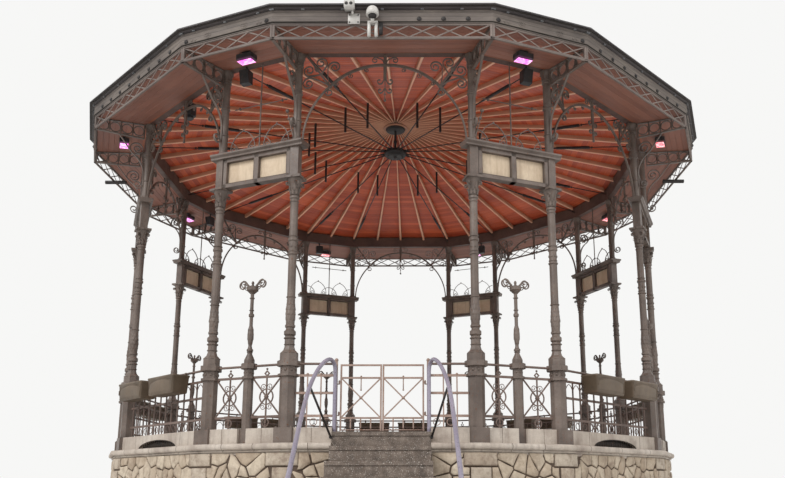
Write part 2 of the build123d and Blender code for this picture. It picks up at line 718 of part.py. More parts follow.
def panel(x0, x1, uprights, crosses, rosette):
    """Flat railing panel in the X-Z plane: rails, uprights and crossed diagonals."""
    depth = BAR
    low, high = LOWER_RAIL, SECOND_RAIL
    body = bar_between((x0, high), (x1, high), FLAT_RAIL, depth)
    body += bar_between((x0, low), (x1, low), FLAT_RAIL, depth)
    if rosette:
        body += bar_between((x0, ROSETTE_RAIL), (x1, ROSETTE_RAIL), FLAT_RAIL, depth)
    for x in uprights:
        body += bar_between((x, UPSTAND_TOP), (x, high), BAR, depth)
    for left, right in crosses:
        body += bar_between((left, low), (right, high), BAR, depth)
        body += bar_between((left, high), (right, low), BAR, depth)
    return body


def top_rails():
    """Round top rail between the pedestal rings, broken at the steps and the lyre posts."""
    def rail(x0, x1, distance, tools):
        return cleared(rod((x0, -distance, TOP_RAIL), (x1, -distance, TOP_RAIL), TOP_RAIL_DIAMETER), tools)
    wide_feet, narrow_feet = column_clearance(WIDE_HALF_ANGLE), column_clearance(NARROW_HALF_ANGLE)
    wide = rail(-WIDE_SPAN / 2, WIDE_SPAN / 2, WIDE_DISTANCE, wide_feet)
    solids = [turned(wide, a) for a in WIDE_BAYS[1:]]
    for side in (-1, 1):
        half = rail(0, side * NARROW_SPAN / 2, NARROW_DISTANCE, narrow_feet + [lyre_clearance()])
        solids += [turned(half, a) for a in NARROW_BAYS]
        solids.append(rail(side * (GATE_POST_X + GATE_POST / 2 + SEAT), side * WIDE_SPAN / 2,
                           WIDE_DISTANCE, wide_feet))
    return solids


def railing_wide():
    """Barred railing of the wide bays."""
    reach = WIDE_SPAN / 2
    bars = [reach * (2 * i / WIDE_BAR_COUNT - 1) for i in range(1, WIDE_BAR_COUNT)]
    body = Pos(0, -WIDE_DISTANCE, 0) * panel(-reach, reach, bars, [], True)
    body = cleared(body, column_clearance(WIDE_HALF_ANGLE))
    return [turned(body, a) for a in WIDE_BAYS[1:]]


def railing_narrow():
    """Crossed railing panels each side of the lyre post."""
    near = LYRE_FLATS / 2
    far = NARROW_SPAN / 2 - PEDESTAL_FLATS / 2
    tools = column_clearance(NARROW_HALF_ANGLE) + [lyre_clearance()]
    solids = []
    for side in (-1, 1):
        x0, x1 = sorted((side * near, side * far))
        end0, end1 = sorted((0, side * NARROW_SPAN / 2))
        middle = (x0 + x1) / 2
        body = panel(end0, end1, [middle], [(x0, x1)], False)
        body += flat_ring((middle, (LOWER_RAIL + SECOND_RAIL) / 2), NARROW_RING, IRON, BAR)
        body += flat_ring((middle, (UPSTAND_TOP + LOWER_RAIL) / 2), RING_BELOW, IRON, BAR)
        tip = Pos(middle, 0, SECOND_RAIL + DIAMOND / 2 + FLAT_RAIL / 2 - IRON) * Rot(0, 45, 0)
        body += tip * (Box(DIAMOND * 0.7, BAR, DIAMOND * 0.7)
                       - Box(DIAMOND * 0.7 - 2 * IRON, BAR, DIAMOND * 0.7 - 2 * IRON))
        body = cleared(Pos(0, -NARROW_DISTANCE, 0) * body, tools)
        solids += [turned(body, a) for a in NARROW_BAYS]
    return solids


def railing_front():
    """Railing between the gate posts and the front pedestals."""
    near = GATE_POST_X + GATE_POST / 2 + SEAT
    far = WIDE_SPAN / 2
    solids = []
    for side in (-1, 1):
        x0, x1 = sorted((side * near, side * far))
        reach = far - PEDESTAL_FLATS / 2 - near
        bars = [side * (near + reach * share) for share in (0.35, 0.7)]
        body = Pos(0, -WIDE_DISTANCE, 0) * panel(x0, x1, bars, [], True)
        solids.append(cleared(body, column_clearance(WIDE_HALF_ANGLE)))
    return solids


# Gate

def gate_posts():
    """Slim posts on the landing that the leaves hang from."""
    half = GATE_POST / 2
    solids = []
    for side in (-1, 1):
        x = side * GATE_POST_X
        solids.append(box(x - half, x + half, -WIDE_DISTANCE - half, -WIDE_DISTANCE + half,
                          FLOOR_TOP, TOP_RAIL + TOP_RAIL_DIAMETER))
    return solids


HINGE_X = GATE_POST_X - GATE_POST / 2 - HINGE_TO_POST
HINGE_LEVELS = [GATE_LOWER + HINGE_INSET, GATE_SECOND - HINGE_INSET]


def gate_pins():
    """Pintles: a lug on the post under each eye of the leaf, with an upright pin."""
    solids = []
    for side in (-1, 1):
        for level in HINGE_LEVELS:
            low = level - EYE_HEIGHT / 2 - HINGE_PLAY
            x0, x1 = sorted((side * HINGE_X, side * (GATE_POST_X - GATE_POST / 2 - SEAT)))
            half = LUG_DIAMETER / 2
            lug = box(x0, x1, -WIDE_DISTANCE - half, -WIDE_DISTANCE + half, low - LUG_HEIGHT, low)
            seat = Pos(side * HINGE_X, -WIDE_DISTANCE, low - LUG_HEIGHT)
            upright = (Align.CENTER, Align.CENTER, Align.MIN)
            lug += seat * Cylinder(half, LUG_HEIGHT, align=upright)
            pin = seat * Cylinder(PIN_DIAMETER / 2, LUG_HEIGHT + EYE_HEIGHT + PIN_STAND, align=upright)
            solids.append(lug + pin)
    return solids


def gate_leaf(side):
    """One leaf: frame, second and lower rails, crossed diagonals, short spikes, and two eyes."""
    outer = HINGE_X - HINGE_TO_STILE
    inner = GATE_LEAF_GAP / 2
    half = GATE_BAR / 2
    low = FLOOR_TOP + GATE_GROUND_GAP
    x0, x1 = inner + half, outer - half
    body = bar_between((x0, low), (x0, GATE_TOP), GATE_BAR, GATE_BAR)
    body += bar_between((x1, low), (x1, GATE_TOP), GATE_BAR, GATE_BAR)
    for level in (GATE_TOP - half, GATE_SECOND, GATE_LOWER):
        body += bar_between((x0, level), (x1, level), GATE_BAR, GATE_BAR)
    body += bar_between((x0, GATE_LOWER), (x1, GATE_SECOND), BAR, BAR)
    body += bar_between((x0, GATE_SECOND), (x1, GATE_LOWER), BAR, BAR)
    for share in (0.25, 0.5, 0.75):
        x = x0 + (x1 - x0) * share
        body += bar_between((x, GATE_LOWER - SPIKE_LENGTH), (x, GATE_LOWER), BAR, BAR)
    for level in HINGE_LEVELS:
        eye = Cylinder(EYE_DIAMETER / 2, EYE_HEIGHT) + Pos(-EYE_DIAMETER / 2, 0, 0) * Box(
            EYE_DIAMETER, GATE_BAR / 2, EYE_HEIGHT)
        eye -= Cylinder(PIN_DIAMETER / 2 + HINGE_PLAY / 2, EYE_HEIGHT)
        body += Pos(HINGE_X, 0, level) * eye
    body = Pos(0, -WIDE_DISTANCE, 0) * body
    return body if side > 0 else mirror(body, Plane.YZ)


def handrail_route(side):
    """Corners of a handrail's axis: upright at the stair head, hoop, slope and upright at the foot."""
    x = side * (STAIR_HALF_WIDTH - HANDRAIL_DIAMETER / 2)
    spread = side * STAIR_FLARE * STEP_COUNT
    head = -WIDE_DISTANCE - GATE_POST / 2 - HANDRAIL_DIAMETER / 2 - HANDRAIL_GAP
    foot = stair_front() - STEP_COUNT * STEP_GOING
    top = TOP_RAIL + HOOP_RISE
    knee = (head - HOOP_LENGTH, top - HOOP_DROP)
    fall = (knee[0] - foot) * RISER / STEP_GOING
    return [(x, head, FLOOR_TOP), (x, head, top), (x, head - 0.6 * HOOP_LENGTH, top + 0.7 * HOOP_RISE),
            (x + 0.1 * spread, knee[0], knee[1]), (x + spread, foot, knee[1] - fall), (x + spread, foot, 0)]


def handrail(side):
    """Tubular handrail: upright at the stair head, a hoop, and a long slope down to the ground."""
    route = handrail_route(side)
    path = FilletPolyline(*route, radius=HANDRAIL_BENDS)
    return sweep(Plane(origin=route[0], z_dir=(0, 0, 1)) * Circle(HANDRAIL_DIAMETER / 2), path=path)


def handrail_brace(side):
    """Dark rod from the side of the threshold's nosing up to the side of the handrail's slope."""
    knee, foot = handrail_route(side)[3:5]
    y = stair_front() - BRACE_REACH
    share = (y - knee[1]) / (foot[1] - knee[1])
    beside = side * (BRACE_DIAMETER / 2 + SEAT)
    x = knee[0] + share * (foot[0] - knee[0]) + side * HANDRAIL_DIAMETER / 2
    start = (side * STAIR_HALF_WIDTH + beside, stair_front() - TREAD_NOSING / 2,
             FLOOR_TOP - TREAD_THICKNESS / 2)
    return rod(start, (x + beside, y, knee[2] + share * (foot[2] - knee[2])), BRACE_DIAMETER)


# Ring beam, arches and brackets

def ring_beam():
    """Deep beam over the column heads."""
    half = BEAM_WIDTH / 2
    return ring([(COLUMN_RADIUS - half, BEAM_BOTTOM), (COLUMN_RADIUS + half, BEAM_BOTTOM),
                 (COLUMN_RADIUS + half, BEAM_TOP - half * ROOF_SLOPE),
                 (COLUMN_RADIUS - half, BEAM_TOP - half * ROOF_SLOPE)])


def soffit_bend():
    """Radius past which the soffit slopes, clear of the round column caps."""
    return COLUMN_RADIUS + UPPER_CAP_WIDTH / 2 / cos(radians(WIDE_HALF_ANGLE))


def soffit_z(radius):
    """Underside of the soffit over a corner line: level past the column cap, then down to the frieze."""
    inner, outer = soffit_bend(), EAVE_RADIUS - FRIEZE_THICKNESS
    share = min(max((radius - inner) / (outer - inner), 0), 1)
    return BEAM_BOTTOM + (FRIEZE_BOTTOM - BEAM_BOTTOM) * share


def eave_cantilevers():
    """Openwork beams from the column heads out to the corners of the valance."""
    depth = CANTILEVER_WIDTH
    lean = tan(radians(WIDE_HALF_ANGLE))
    inner = COLUMN_RADIUS + UPPER_CAP_WIDTH / 2 + SEAT
    outer = EAVE_RADIUS - (VALANCE_THICKNESS + SEAM) / cos(radians(WIDE_HALF_ANGLE)) - depth / 2 * lean - SEAT
    low = VALANCE_BOTTOM
    frieze_back = EAVE_RADIUS - FRIEZE_THICKNESS - depth / 2 * lean

    def top(x):
        return soffit_z(x + depth / 2 * lean) - SEAT
    flange = CANTILEVER_FLANGE
    outline = [(inner, top(inner)), (frieze_back, top(frieze_back)), (outer, top(outer)),
               (outer, low), (inner, low)]
    body = extrude(sheet_wire(outline), depth / 2, both=True)
    count = CANTILEVER_CELL_COUNT
    pitch = (outer - inner - BAR) / count
    for i in range(count):
        x0 = inner + BAR + i * pitch
        x1 = x0 + pitch - BAR
        hole = sheet_wire([(x0, low + flange), (x1, low + flange), (x1, top(x1) - flange),
                           (x0, top(x0) - flange)])
        body -= extrude(hole, depth, both=True)
    for i in range(count):
        x0 = inner + BAR + i * pitch
        middle = (x0 + (pitch - BAR) / 2, (low + top(x0 + pitch)) / 2)
        body += flat_ring(middle, pitch - BAR + IRON / 2, CANTILEVER_RING, depth / 2)
    body = Rot(0, 0, -90) * body
    return [turned(body, a) for a in COLUMN_ANGLES]


def eave_brackets():
    """S-shaped bracket of flat iron on each upper column: a small scroll at the foot, a long sweep
    outwards to a large scroll, and an arm up to the cantilever."""
    face = COLUMN_RADIUS + UPPER_DIAMETER / 2 + SEAT + IRON / 2
    low, high = BOARD_CORNICE_TOP + BRACKET_START, VALANCE_BOTTOM - SEAT
    body = strap((face, low), 270, BRACKET_FOOT_CURL, IRON, BRACKET_DEPTH)
    stem = [(0, BRACKET_LEG), (BRACKET_SWEEP, -BRACKET_LEAN)]
    body += strap((face, low), 90, stem + BRACKET_SCROLL, IRON, BRACKET_DEPTH)
    lean = radians(BRACKET_LEAN)
    fork = (face + BRACKET_SWEEP * (1 - cos(lean)), low + BRACKET_LEG + BRACKET_SWEEP * sin(lean))
    arm = strap(fork, 90 - BRACKET_LEAN, BRACKET_ARM, IRON, BRACKET_DEPTH)
    far = 2 * COLUMN_RADIUS
    body += arm & box(0, far, -far, far, 0, high)
    body = Rot(0, 0, -90) * body
    return [turned(body, a) for a in COLUMN_ANGLES]


def arch_haunch(side):
    """One side of a wide bay's arch, drawn for the left: a quarter bar from the board's shelf with a
    curl at its head, a rib on to the crown, and a fan of a strut, a disc and four scrolls."""
    column = -WIDE_SPAN / 2
    base = UPPER_DIAMETER / 2 + SHAFT_RING_PROUD + SEAT
    foot = (column + base + ARCH_BAR / 2, BOARD_CORNICE_TOP + SEAT)
    junction = (column + JUNCTION_REACH, BEAM_BOTTOM - JUNCTION_DROP)
    crown = (-PENDANT_WIDTH / 2 - SEAT, BEAM_BOTTOM - CROWN_DROP)
    corner = (column + UPPER_CAP_WIDTH / 2 + ARCH_STRUT / 2, BEAM_BOTTOM)
    run, rise = corner[0] - junction[0], corner[1] - junction[1]
    lean, length = degrees(atan2(rise, run)), hypot(run, rise)

    def quarter_and_rib(spare):
        depth = IRON_DEPTH + spare
        return (strap(foot, 90, [arc_to(foot, 90, junction)], ARCH_BAR + spare, depth),
                strap(crown, 180, [arc_to(crown, 180, junction)], ARCH_RIB + spare, depth))

    def on_strut(share):
        return (junction[0] + run * share, junction[1] + rise * share)
    quarter, rib = quarter_and_rib(0)
    rooms = quarter_and_rib(2 * SEAT)
    rib -= rooms[0]
    quarter += strap((junction[0] - 2 * IRON, junction[1] - 2 * IRON), 190, JUNCTION_CURL, IRON, IRON_DEPTH)
    fan = strap(junction, lean, [(0, length)], ARCH_STRUT, IRON_DEPTH)
    fan += flat_disc(on_strut(DISC_SHARE), ARCH_DISC, IRON_DEPTH)
    across = Plane(origin=(junction[0], 0, junction[1]),
                   z_dir=(-sin(radians(lean)), 0, cos(radians(lean))))
    for start, turn, moves in ((junction, 15, LARGE_SCROLL),
                               (on_strut(SMALL_SCROLL_SHARE), 65, SMALL_SCROLL)):
        scroll = strap(start, lean + turn, moves, IRON, IRON_DEPTH)
        fan += scroll
        fan += mirror(scroll, across)
    fan = cleared(fan, rooms)
    room = box(column, 0, -IRON_DEPTH, IRON_DEPTH, BOARD_CORNICE_TOP, BEAM_BOTTOM - SEAT)
    post = Pos(column, 0, BOARD_CORNICE_TOP) * Cylinder(UPPER_DIAMETER / 2 + SEAT, BEAM_BOTTOM,
                                                        align=(Align.CENTER, Align.CENTER, Align.MIN))
    pieces = [Pos(0, -WIDE_DISTANCE, 0) * ((piece & room) - post) for piece in (quarter, rib, fan)]
    return pieces if side < 0 else [mirror(piece, Plane.YZ) for piece in pieces]


def arch_pendant():
    """Drop at the crown: stem, a scroll each side above the rib, and two pairs of curls below."""
    top = BEAM_BOTTOM - SEAT
    stem = top - PENDANT_STEM
    body = strap((0, top), 270, [(0, PENDANT_STEM)], PENDANT_WIDTH, IRON_DEPTH)
    body += strap((0, stem), 270, [(0, PENDANT_TIP - PENDANT_STEM)], IRON, IRON_DEPTH)
    body += flat_disc((0, top - PENDANT_TIP), 2 * IRON, IRON_DEPTH)
    half = PENDANT_WIDTH / 2
    curls = strap((-half, top - CROWN_DROP + ARCH_RIB), 90, CROWN_SCROLL, IRON, IRON_DEPTH / 2)
    curls += strap((-half + IRON, stem + IRON), 262, UPPER_CURL, IRON, IRON_DEPTH)
    curls += strap((-IRON / 2, stem - CROWN_DROP), 250, LOWER_CURL, IRON, IRON_DEPTH)
    body += curls
    body += mirror(curls, Plane.YZ)
    return Pos(0, -WIDE_DISTANCE, 0) * body


def bay_arches():
    """Two haunches and the drop between them in each wide bay."""
    pieces = arch_haunch(-1) + arch_haunch(1) + [arch_pendant()]
    return [turned(piece, a) for a in WIDE_BAYS for piece in pieces]


def board_cresting():
    """Interlaced round and pointed arcs with curls on each name board's shelf, in two halves each
    side of the rod."""
    base = BOARD_CORNICE_TOP + SEAT
    foot = base + CREST_BASE + CREST_CURL
    apex = ((CREST_INNER_FOOT + CREST_OUTER_FOOT) / 2, base + CREST_HEIGHT)
    end = NARROW_SPAN / 2
    iron, depth, curl = CREST_IRON, CREST_DEPTH, CREST_CURL
    body = strap((0, base + CREST_BASE / 2), 0, [(0, end)], CREST_BASE, depth)
    for middle, side in ((0, 1), (2 * apex[0], -1)):
        body += strap((middle + side * CREST_ROUND, base + CREST_BASE / 2), 90,
                      [(CREST_ROUND, side * 90)], iron, depth)
    for x, left in ((CREST_INNER_FOOT, 1), (CREST_OUTER_FOOT, -1)):
        body += strap((x, foot), 90, [arc_to((x, foot), 90, apex)], iron, depth)
        spiral = [(curl, left * 180), (curl * 0.7, left * 180), (curl * 0.42, left * 150)]
        body += strap((x, foot), 270, spiral, iron, depth)
    body = body & box(ROD_DIAMETER / 2 + SEAT, end, -depth, depth, base, BEAM_BOTTOM)
    body -= Pos(end, 0, base) * Cylinder(UPPER_DIAMETER / 2 + SHAFT_RING_PROUD + SEAT, CREST_HEIGHT * 2)
    body = Pos(0, -NARROW_DISTANCE, 0) * body
    return [turned(piece, a) for a in NARROW_BAYS for piece in (body, mirror(body, Plane.YZ))]


def cresting_rods():
    """Upright rod from each shelf to the beam, with a cross bar that has disc stops and points."""
    y, level = -NARROW_DISTANCE, BOARD_CORNICE_TOP + CROSS_BAR_LEVEL
    upright = rod((0, y, BOARD_CORNICE_TOP + SEAT), (0, y, BEAM_BOTTOM - SEAT), ROD_DIAMETER)
    solids = [turned(upright, a) for a in NARROW_BAYS]
    for side in (-1, 1):
        near = side * (ROD_DIAMETER / 2 + SEAT)
        far = side * (CROSS_BAR_REACH - CROSS_DISC)
        bar = rod((near, y, level), (far, y, level), CROSS_BAR_DIAMETER)
        bar += rod((side * CROSS_DISC_AT, y, level), (side * (CROSS_DISC_AT + IRON), y, level), CROSS_DISC)
        tip = Plane(origin=(far, y, level), z_dir=(side, 0, 0)) * Cone(
            CROSS_BAR_DIAMETER * 0.8, 1, CROSS_DISC, align=(Align.CENTER, Align.CENTER, Align.MIN))
        solids += [turned(bar + tip, a) for a in NARROW_BAYS]
    return solids


# Roof

def ceiling_boards():
    """Boarded deck over the rafters, from the apex to the eaves, one panel to a bay."""
    inner, outer = HUB_RADIUS / 2, EAVE_RADIUS
    return ring([(inner, roof_z(inner)), (outer, roof_z(outer)),
                 (outer, roof_z(outer) + BOARD_DECK), (inner, roof_z(inner) + BOARD_DECK)])


def roof_panels():
    """Metal roof covering on the boards."""
    inner, outer = HUB_RADIUS / 2, EAVE_RADIUS
    low, high = BOARD_DECK, BOARD_DECK + ROOF_COVER
    return ring([(inner, roof_z(inner) + low), (outer, roof_z(outer) + low),
                 (outer, roof_z(outer) + high), (inner, roof_z(inner) + high)])


def roof_cap():
    """Low cap over the meeting of the panels."""
    low = roof_z(CAP_RADIUS) + BOARD_DECK + ROOF_COVER
    profile = [(CAP_RADIUS, low), (CAP_RADIUS, low + CAP_RIM), (CAP_RADIUS * 0.4, low + CAP_RISE * 0.6),
               (CAP_TOP_RADIUS, low + CAP_RISE)]
    core = [(0, low)] + profile + [(0, low + CAP_RISE)]
    cap = revolve(make_face(Polyline(*[(r, 0, z) for r, z in core], close=True).edges()), Axis.Z)
    hollow = CAP_RADIUS * ROOF_SLOPE
    cone = Pos(0, 0, low) * Cone(CAP_RADIUS, 1, hollow, align=(Align.CENTER, Align.CENTER, Align.MIN))
    return [cap - cone]


def inside_beam():
    """Room inside the ring beam, for cutting what butts against it."""
    reach = COLUMN_RADIUS - BEAM_WIDTH / 2 - SEAT / cos(radians(WIDE_HALF_ANGLE))
    corners = [polar(reach, a, 0) for a in COLUMN_ANGLES]
    return extrude(make_face(Polyline(*corners, close=True).edges()), 2 * BEAM_TOP)


def rafters():
    """Rafters under the boards, tapered in plan from the ring beam in to the hub."""
    room = inside_beam()
    near, far = RAFTER_WIDTH_AT_HUB / 2, RAFTER_WIDTH / 2
    solids = []
    for angles, spacing, half_angle in ((WIDE_BAYS, RAFTER_COUNT_WIDE, WIDE_HALF_ANGLE),
                                        (NARROW_BAYS, RAFTER_COUNT_NARROW, NARROW_HALF_ANGLE)):
        for index in range(spacing):
            local = half_angle * (2 * index / spacing - 1)
            share = cos(radians(half_angle)) / cos(radians(local))
            wires = []
            for radius, half in ((RAFTER_START, near), (COLUMN_RADIUS, far)):
                top = roof_z(radius / share) - RAFTER_SETTLE
                low = roof_z(radius / share) - RAFTER_DEPTH
                wires.append(Wire.make_polygon([(-half, -radius, low), (half, -radius, low),
                                                (half, -radius, top), (-half, -radius, top)], close=True))
            body = turned(Solid.make_loft(wires, ruled=True), angles[0] + local) & room
            solids += [turned(body, a - angles[0]) for a in angles]
    return solids


def hub_top():
    """Height at which the lowest rafters rest on the hub's rim."""
    return roof_z(HUB_RADIUS / cos(radians(WIDE_HALF_ANGLE))) - RAFTER_DEPTH - SEAT


def roof_hub():
    """Disc at the apex that the rafters meet."""
    top = hub_top()
    return [Pos(0, 0, top - HUB_DEPTH) * Cylinder(HUB_RADIUS, HUB_DEPTH,
                                                  align=(Align.CENTER, Align.CENTER, Align.MIN))]


def king_rod():
    """Rod from the apex hub down to the lower hub."""
    return [rod((0, 0, LOWER_HUB_Z + LOWER_HUB_DEPTH), (0, 0, hub_top() - HUB_DEPTH), KING_ROD)]


def lower_hub():
    """Disc that gathers the tie rods."""
    half = LOWER_HUB_DEPTH / 2
    profile = [(KING_ROD, LOWER_HUB_Z - LOWER_HUB_DEPTH), (LOWER_HUB_RADIUS, LOWER_HUB_Z - half),
               (LOWER_HUB_RADIUS, LOWER_HUB_Z + half), (KING_ROD, LOWER_HUB_Z + LOWER_HUB_DEPTH)]
    return [turned_profile(profile)]


def tie_rods():
    """Rods from the lower hub out to the ring beam, thicker at the outer end."""
    room = inside_beam()
    hub = Pos(0, 0, LOWER_HUB_Z) * Cylinder(LOWER_HUB_RADIUS + SEAT, 4 * TIE_DIAMETER)
    end = COLUMN_RADIUS
    start, socket = LOWER_HUB_RADIUS / 2, COLUMN_RADIUS - TIE_SOCKET_LENGTH
    body = rod((0, -start, tie_z(start)), (0, -end, tie_z(end)), TIE_DIAMETER)
    body += rod((0, -socket, tie_z(socket)), (0, -end, tie_z(end)), TIE_SOCKET_DIAMETER)
    body -= hub
    return [turned(body, a) & room for a in COLUMN_ANGLES]


def tie_z(radius):
    """Height of a tie rod's axis."""
    end = BEAM_TOP - TIE_SEAT_DROP
    start = LOWER_HUB_RADIUS / 2
    return LOWER_HUB_Z + (end - LOWER_HUB_Z) * (radius - start) / (COLUMN_RADIUS - start)


def tie_struts():
    """Short post from each hip rafter down round its tie rod."""
    low = tie_z(STRUT_RADIUS) - STRUT_TAIL
    high = roof_z(STRUT_RADIUS + STRUT_DIAMETER / 2) - RAFTER_DEPTH - SEAT
    post = rod((0, -STRUT_RADIUS, low), (0, -STRUT_RADIUS, high), STRUT_DIAMETER)
    reach = 2 * STRUT_DIAMETER
    near, far = STRUT_RADIUS - reach, STRUT_RADIUS + reach
    post -= rod((0, -near, tie_z(near)), (0, -far, tie_z(far)), TIE_DIAMETER + 2 * SEAT)
    return [turned(post, a) for a in COLUMN_ANGLES]


# Eaves

def frieze():
    """Timber frieze board from the soffit up to the roof boards."""
    inner = EAVE_RADIUS - FRIEZE_THICKNESS
    return ring([(inner, FRIEZE_BOTTOM), (EAVE_RADIUS, FRIEZE_BOTTOM),
                 (EAVE_RADIUS, roof_z(EAVE_RADIUS)), (inner, roof_z(inner))])


def eave_cornice():
    """Stepped cornice that covers the edge of the roof."""
    back, outer = EAVE_RADIUS + SEAT, EAVE_RADIUS + CORNICE_OVERHANG
    low, high = CORNICE_BOTTOM, CORNICE_TOP
    step = (high - low) / 3
    return ring([(back, low), (back + CORNICE_OVERHANG / 4, low), (back + CORNICE_OVERHANG / 3, low + step),
                 (outer - CORNICE_OVERHANG / 3, low + 2 * step), (outer, low + 2 * step), (outer, high),
                 (back, high)])


def soffit():
    """Boarded underside of the eaves, from the ring beam out to the frieze."""
    inner = COLUMN_RADIUS + BEAM_WIDTH / 2 + SEAT
    bend = soffit_bend()
    outer = EAVE_RADIUS - FRIEZE_THICKNESS - SEAT
    t = SOFFIT_THICKNESS
    return ring([(inner, BEAM_BOTTOM), (bend, BEAM_BOTTOM), (outer, FRIEZE_BOTTOM),
                 (outer, FRIEZE_BOTTOM + t), (bend, BEAM_BOTTOM + t), (inner, BEAM_BOTTOM + t)])


def valance():
    """Latticed panel under the frieze: a plate with the openings between its crossed bars cut out."""
    solids = []
    top, low = FRIEZE_BOTTOM, VALANCE_BOTTOM
    for angles, half_angle, cells in ((WIDE_BAYS, WIDE_HALF_ANGLE, CELL_COUNT_WIDE),
                                      (NARROW_BAYS, NARROW_HALF_ANGLE, CELL_COUNT_NARROW)):
        span = 2 * EAVE_RADIUS * sin(radians(half_angle))
        distance = EAVE_RADIUS * cos(radians(half_angle))
        half = span / 2 - SEAM
        z0, z1 = low + VALANCE_RAIL, top - VALANCE_BAR
        reach = half - VALANCE_RAIL
        pitch = 2 * reach / cells
        body = bar_between((-half, low + VALANCE_RAIL / 2), (half, low + VALANCE_RAIL / 2),
                           VALANCE_RAIL, VALANCE_THICKNESS)
        body += bar_between((-half, top - VALANCE_BAR / 2), (half, top - VALANCE_BAR / 2),
                            VALANCE_BAR, VALANCE_THICKNESS)
        for side in (-1, 1):
            x = side * (half - VALANCE_RAIL / 2)
            body += bar_between((x, low), (x, top), VALANCE_RAIL, VALANCE_THICKNESS)
        bars = []
        for cell in range(cells):
            x0, x1 = -reach + cell * pitch, -reach + (cell + 1) * pitch
            bars.append(bar_between((x0, z0), (x1, z1), VALANCE_BAR * 0.7, VALANCE_THICKNESS / 2))
            bars.append(bar_between((x0, z1), (x1, z0), VALANCE_BAR * 0.7, VALANCE_THICKNESS / 2))
        body = body.fuse(*bars)
        body = Pos(0, -distance + VALANCE_THICKNESS / 2 + SEAM, 0) * body
        solids += [turned(body, a) for a in angles]
    return solids


# Planters, lamps and loudspeakers

def planter(shift):
    """Moulded trough hung on the outside of the top rail by two hooks, with soil below its rim."""
    back = WIDE_DISTANCE + TOP_RAIL_DIAMETER / 2 + SEAT
    top = TOP_RAIL - PLANTER_DROP
    low = top - PLANTER_HEIGHT
    wires = []
    for z, inset in ((low, PLANTER_TAPER), (top, 0)):
        half = PLANTER_LENGTH / 2 - inset
        wires.append(Wire.make_polygon([(shift - half, -back, z), (shift + half, -back, z),
                                        (shift + half, -back - PLANTER_DEPTH + inset, z),
                                        (shift - half, -back - PLANTER_DEPTH + inset, z)], close=True))
    half = PLANTER_LENGTH / 2 - PLANTER_WALL
    body = Solid.make_loft(wires, ruled=True)
    body -= box(shift - half, shift + half, -back - PLANTER_DEPTH + PLANTER_WALL, -back - PLANTER_WALL,
                top - PLANTER_SOIL, top + PLANTER_SOIL)
    over = TOP_RAIL + TOP_RAIL_DIAMETER / 2 + SEAT
    for side in (-1, 1):
        x = shift + side * PLANTER_LENGTH / 4
        x0, x1 = x - HOOK_WIDTH / 2, x + HOOK_WIDTH / 2
        body += box(x0, x1, -back - HOOK_THICKNESS, -back, top - PLANTER_SOIL, over + HOOK_THICKNESS)
        body += box(x0, x1, -back - HOOK_THICKNESS, -WIDE_DISTANCE + TOP_RAIL_DIAMETER / 2, over,
                    over + HOOK_THICKNESS)
    return body


def planters():
    """Two troughs to a wide bay, set over away from the steps as they hang now."""
    solids = []
    for angle in WIDE_BAYS[1:]:
        away = 1 if angle <= 180 else -1
        solids += [turned(planter(-away * PLANTER_NEAR), angle), turned(planter(away * PLANTER_FAR), angle)]
    return solids


def soffit_lean():
    """Slope of the soffit in the middle of a narrow bay, in degrees."""
    run = (EAVE_RADIUS - FRIEZE_THICKNESS - soffit_bend()) * cos(radians(NARROW_HALF_ANGLE))
    return degrees(atan2(BEAM_BOTTOM - FRIEZE_BOTTOM, run))


def floodlights():
    """Flat lamp under the soffit of each narrow bay, on a yoke."""
    radius = COLUMN_RADIUS + LAMP_REACH
    y = -radius * cos(radians(NARROW_HALF_ANGLE))
    seat = Pos(0, y, soffit_z(radius) - SEAT) * Rot(soffit_lean(), 0, 0)
    hang = (Align.CENTER, Align.CENTER, Align.MAX)
    wall = IRON / 2
    case = fillet(Box(LAMP_LENGTH, LAMP_WIDTH, LAMP_HEIGHT).edges().filter_by(Axis.Z), wall * 2)
    lens = Pos(0, 0, -LAMP_HEIGHT / 2) * Box(LAMP_LENGTH - 4 * wall, LAMP_WIDTH - 4 * wall, wall)
    body = Pos(0, 0, -LAMP_DROP) * (case - lens)
    body += Box(LAMP_LENGTH / 2, LAMP_WIDTH / 3, wall, align=hang)
    for side in (-1, 1):
        body += Pos(side * LAMP_LENGTH / 4, 0, 0) * Box(wall, LAMP_WIDTH / 4, LAMP_DROP, align=hang)
    return [turned(seat * body, a) for a in NARROW_BAYS]


def speaker(angle, shift):
    """Loudspeaker with a sloped front, hung by a bracket from the inner foot of the ring beam."""
    wires = []
    for share, z in ((0.62, -SPEAKER_HEIGHT), (1, 0)):
        half = SPEAKER_WIDTH / 2
        deep = SPEAKER_DEPTH * share
        wires.append(Wire.make_polygon([(-half, 0, z), (half, 0, z), (half, -deep, z), (-half, -deep, z)],
                                       close=True))
    body = Solid.make_loft(wires, ruled=True)
    stub = Box(HOOK_WIDTH, HOOK_WIDTH, IRON_DEPTH, align=(Align.CENTER, Align.MAX, Align.MIN))
    seat = Pos(shift, -NARROW_DISTANCE + SPEAKER_DEPTH / 4, BEAM_BOTTOM - SEAT - IRON_DEPTH)
    return turned(seat * (body + stub), angle)


def speakers():
    """Two loudspeakers over the front narrow bays and three at the sides and back."""
    step = PAIR_ANGLE
    places = [(-0.5, -1), (0.5, 1), (-2.5, -1), (-3.5, 1), (3.5, -1)]
    return [speaker(step * turn, side * SPEAKER_SHIFT) for turn, side in places]


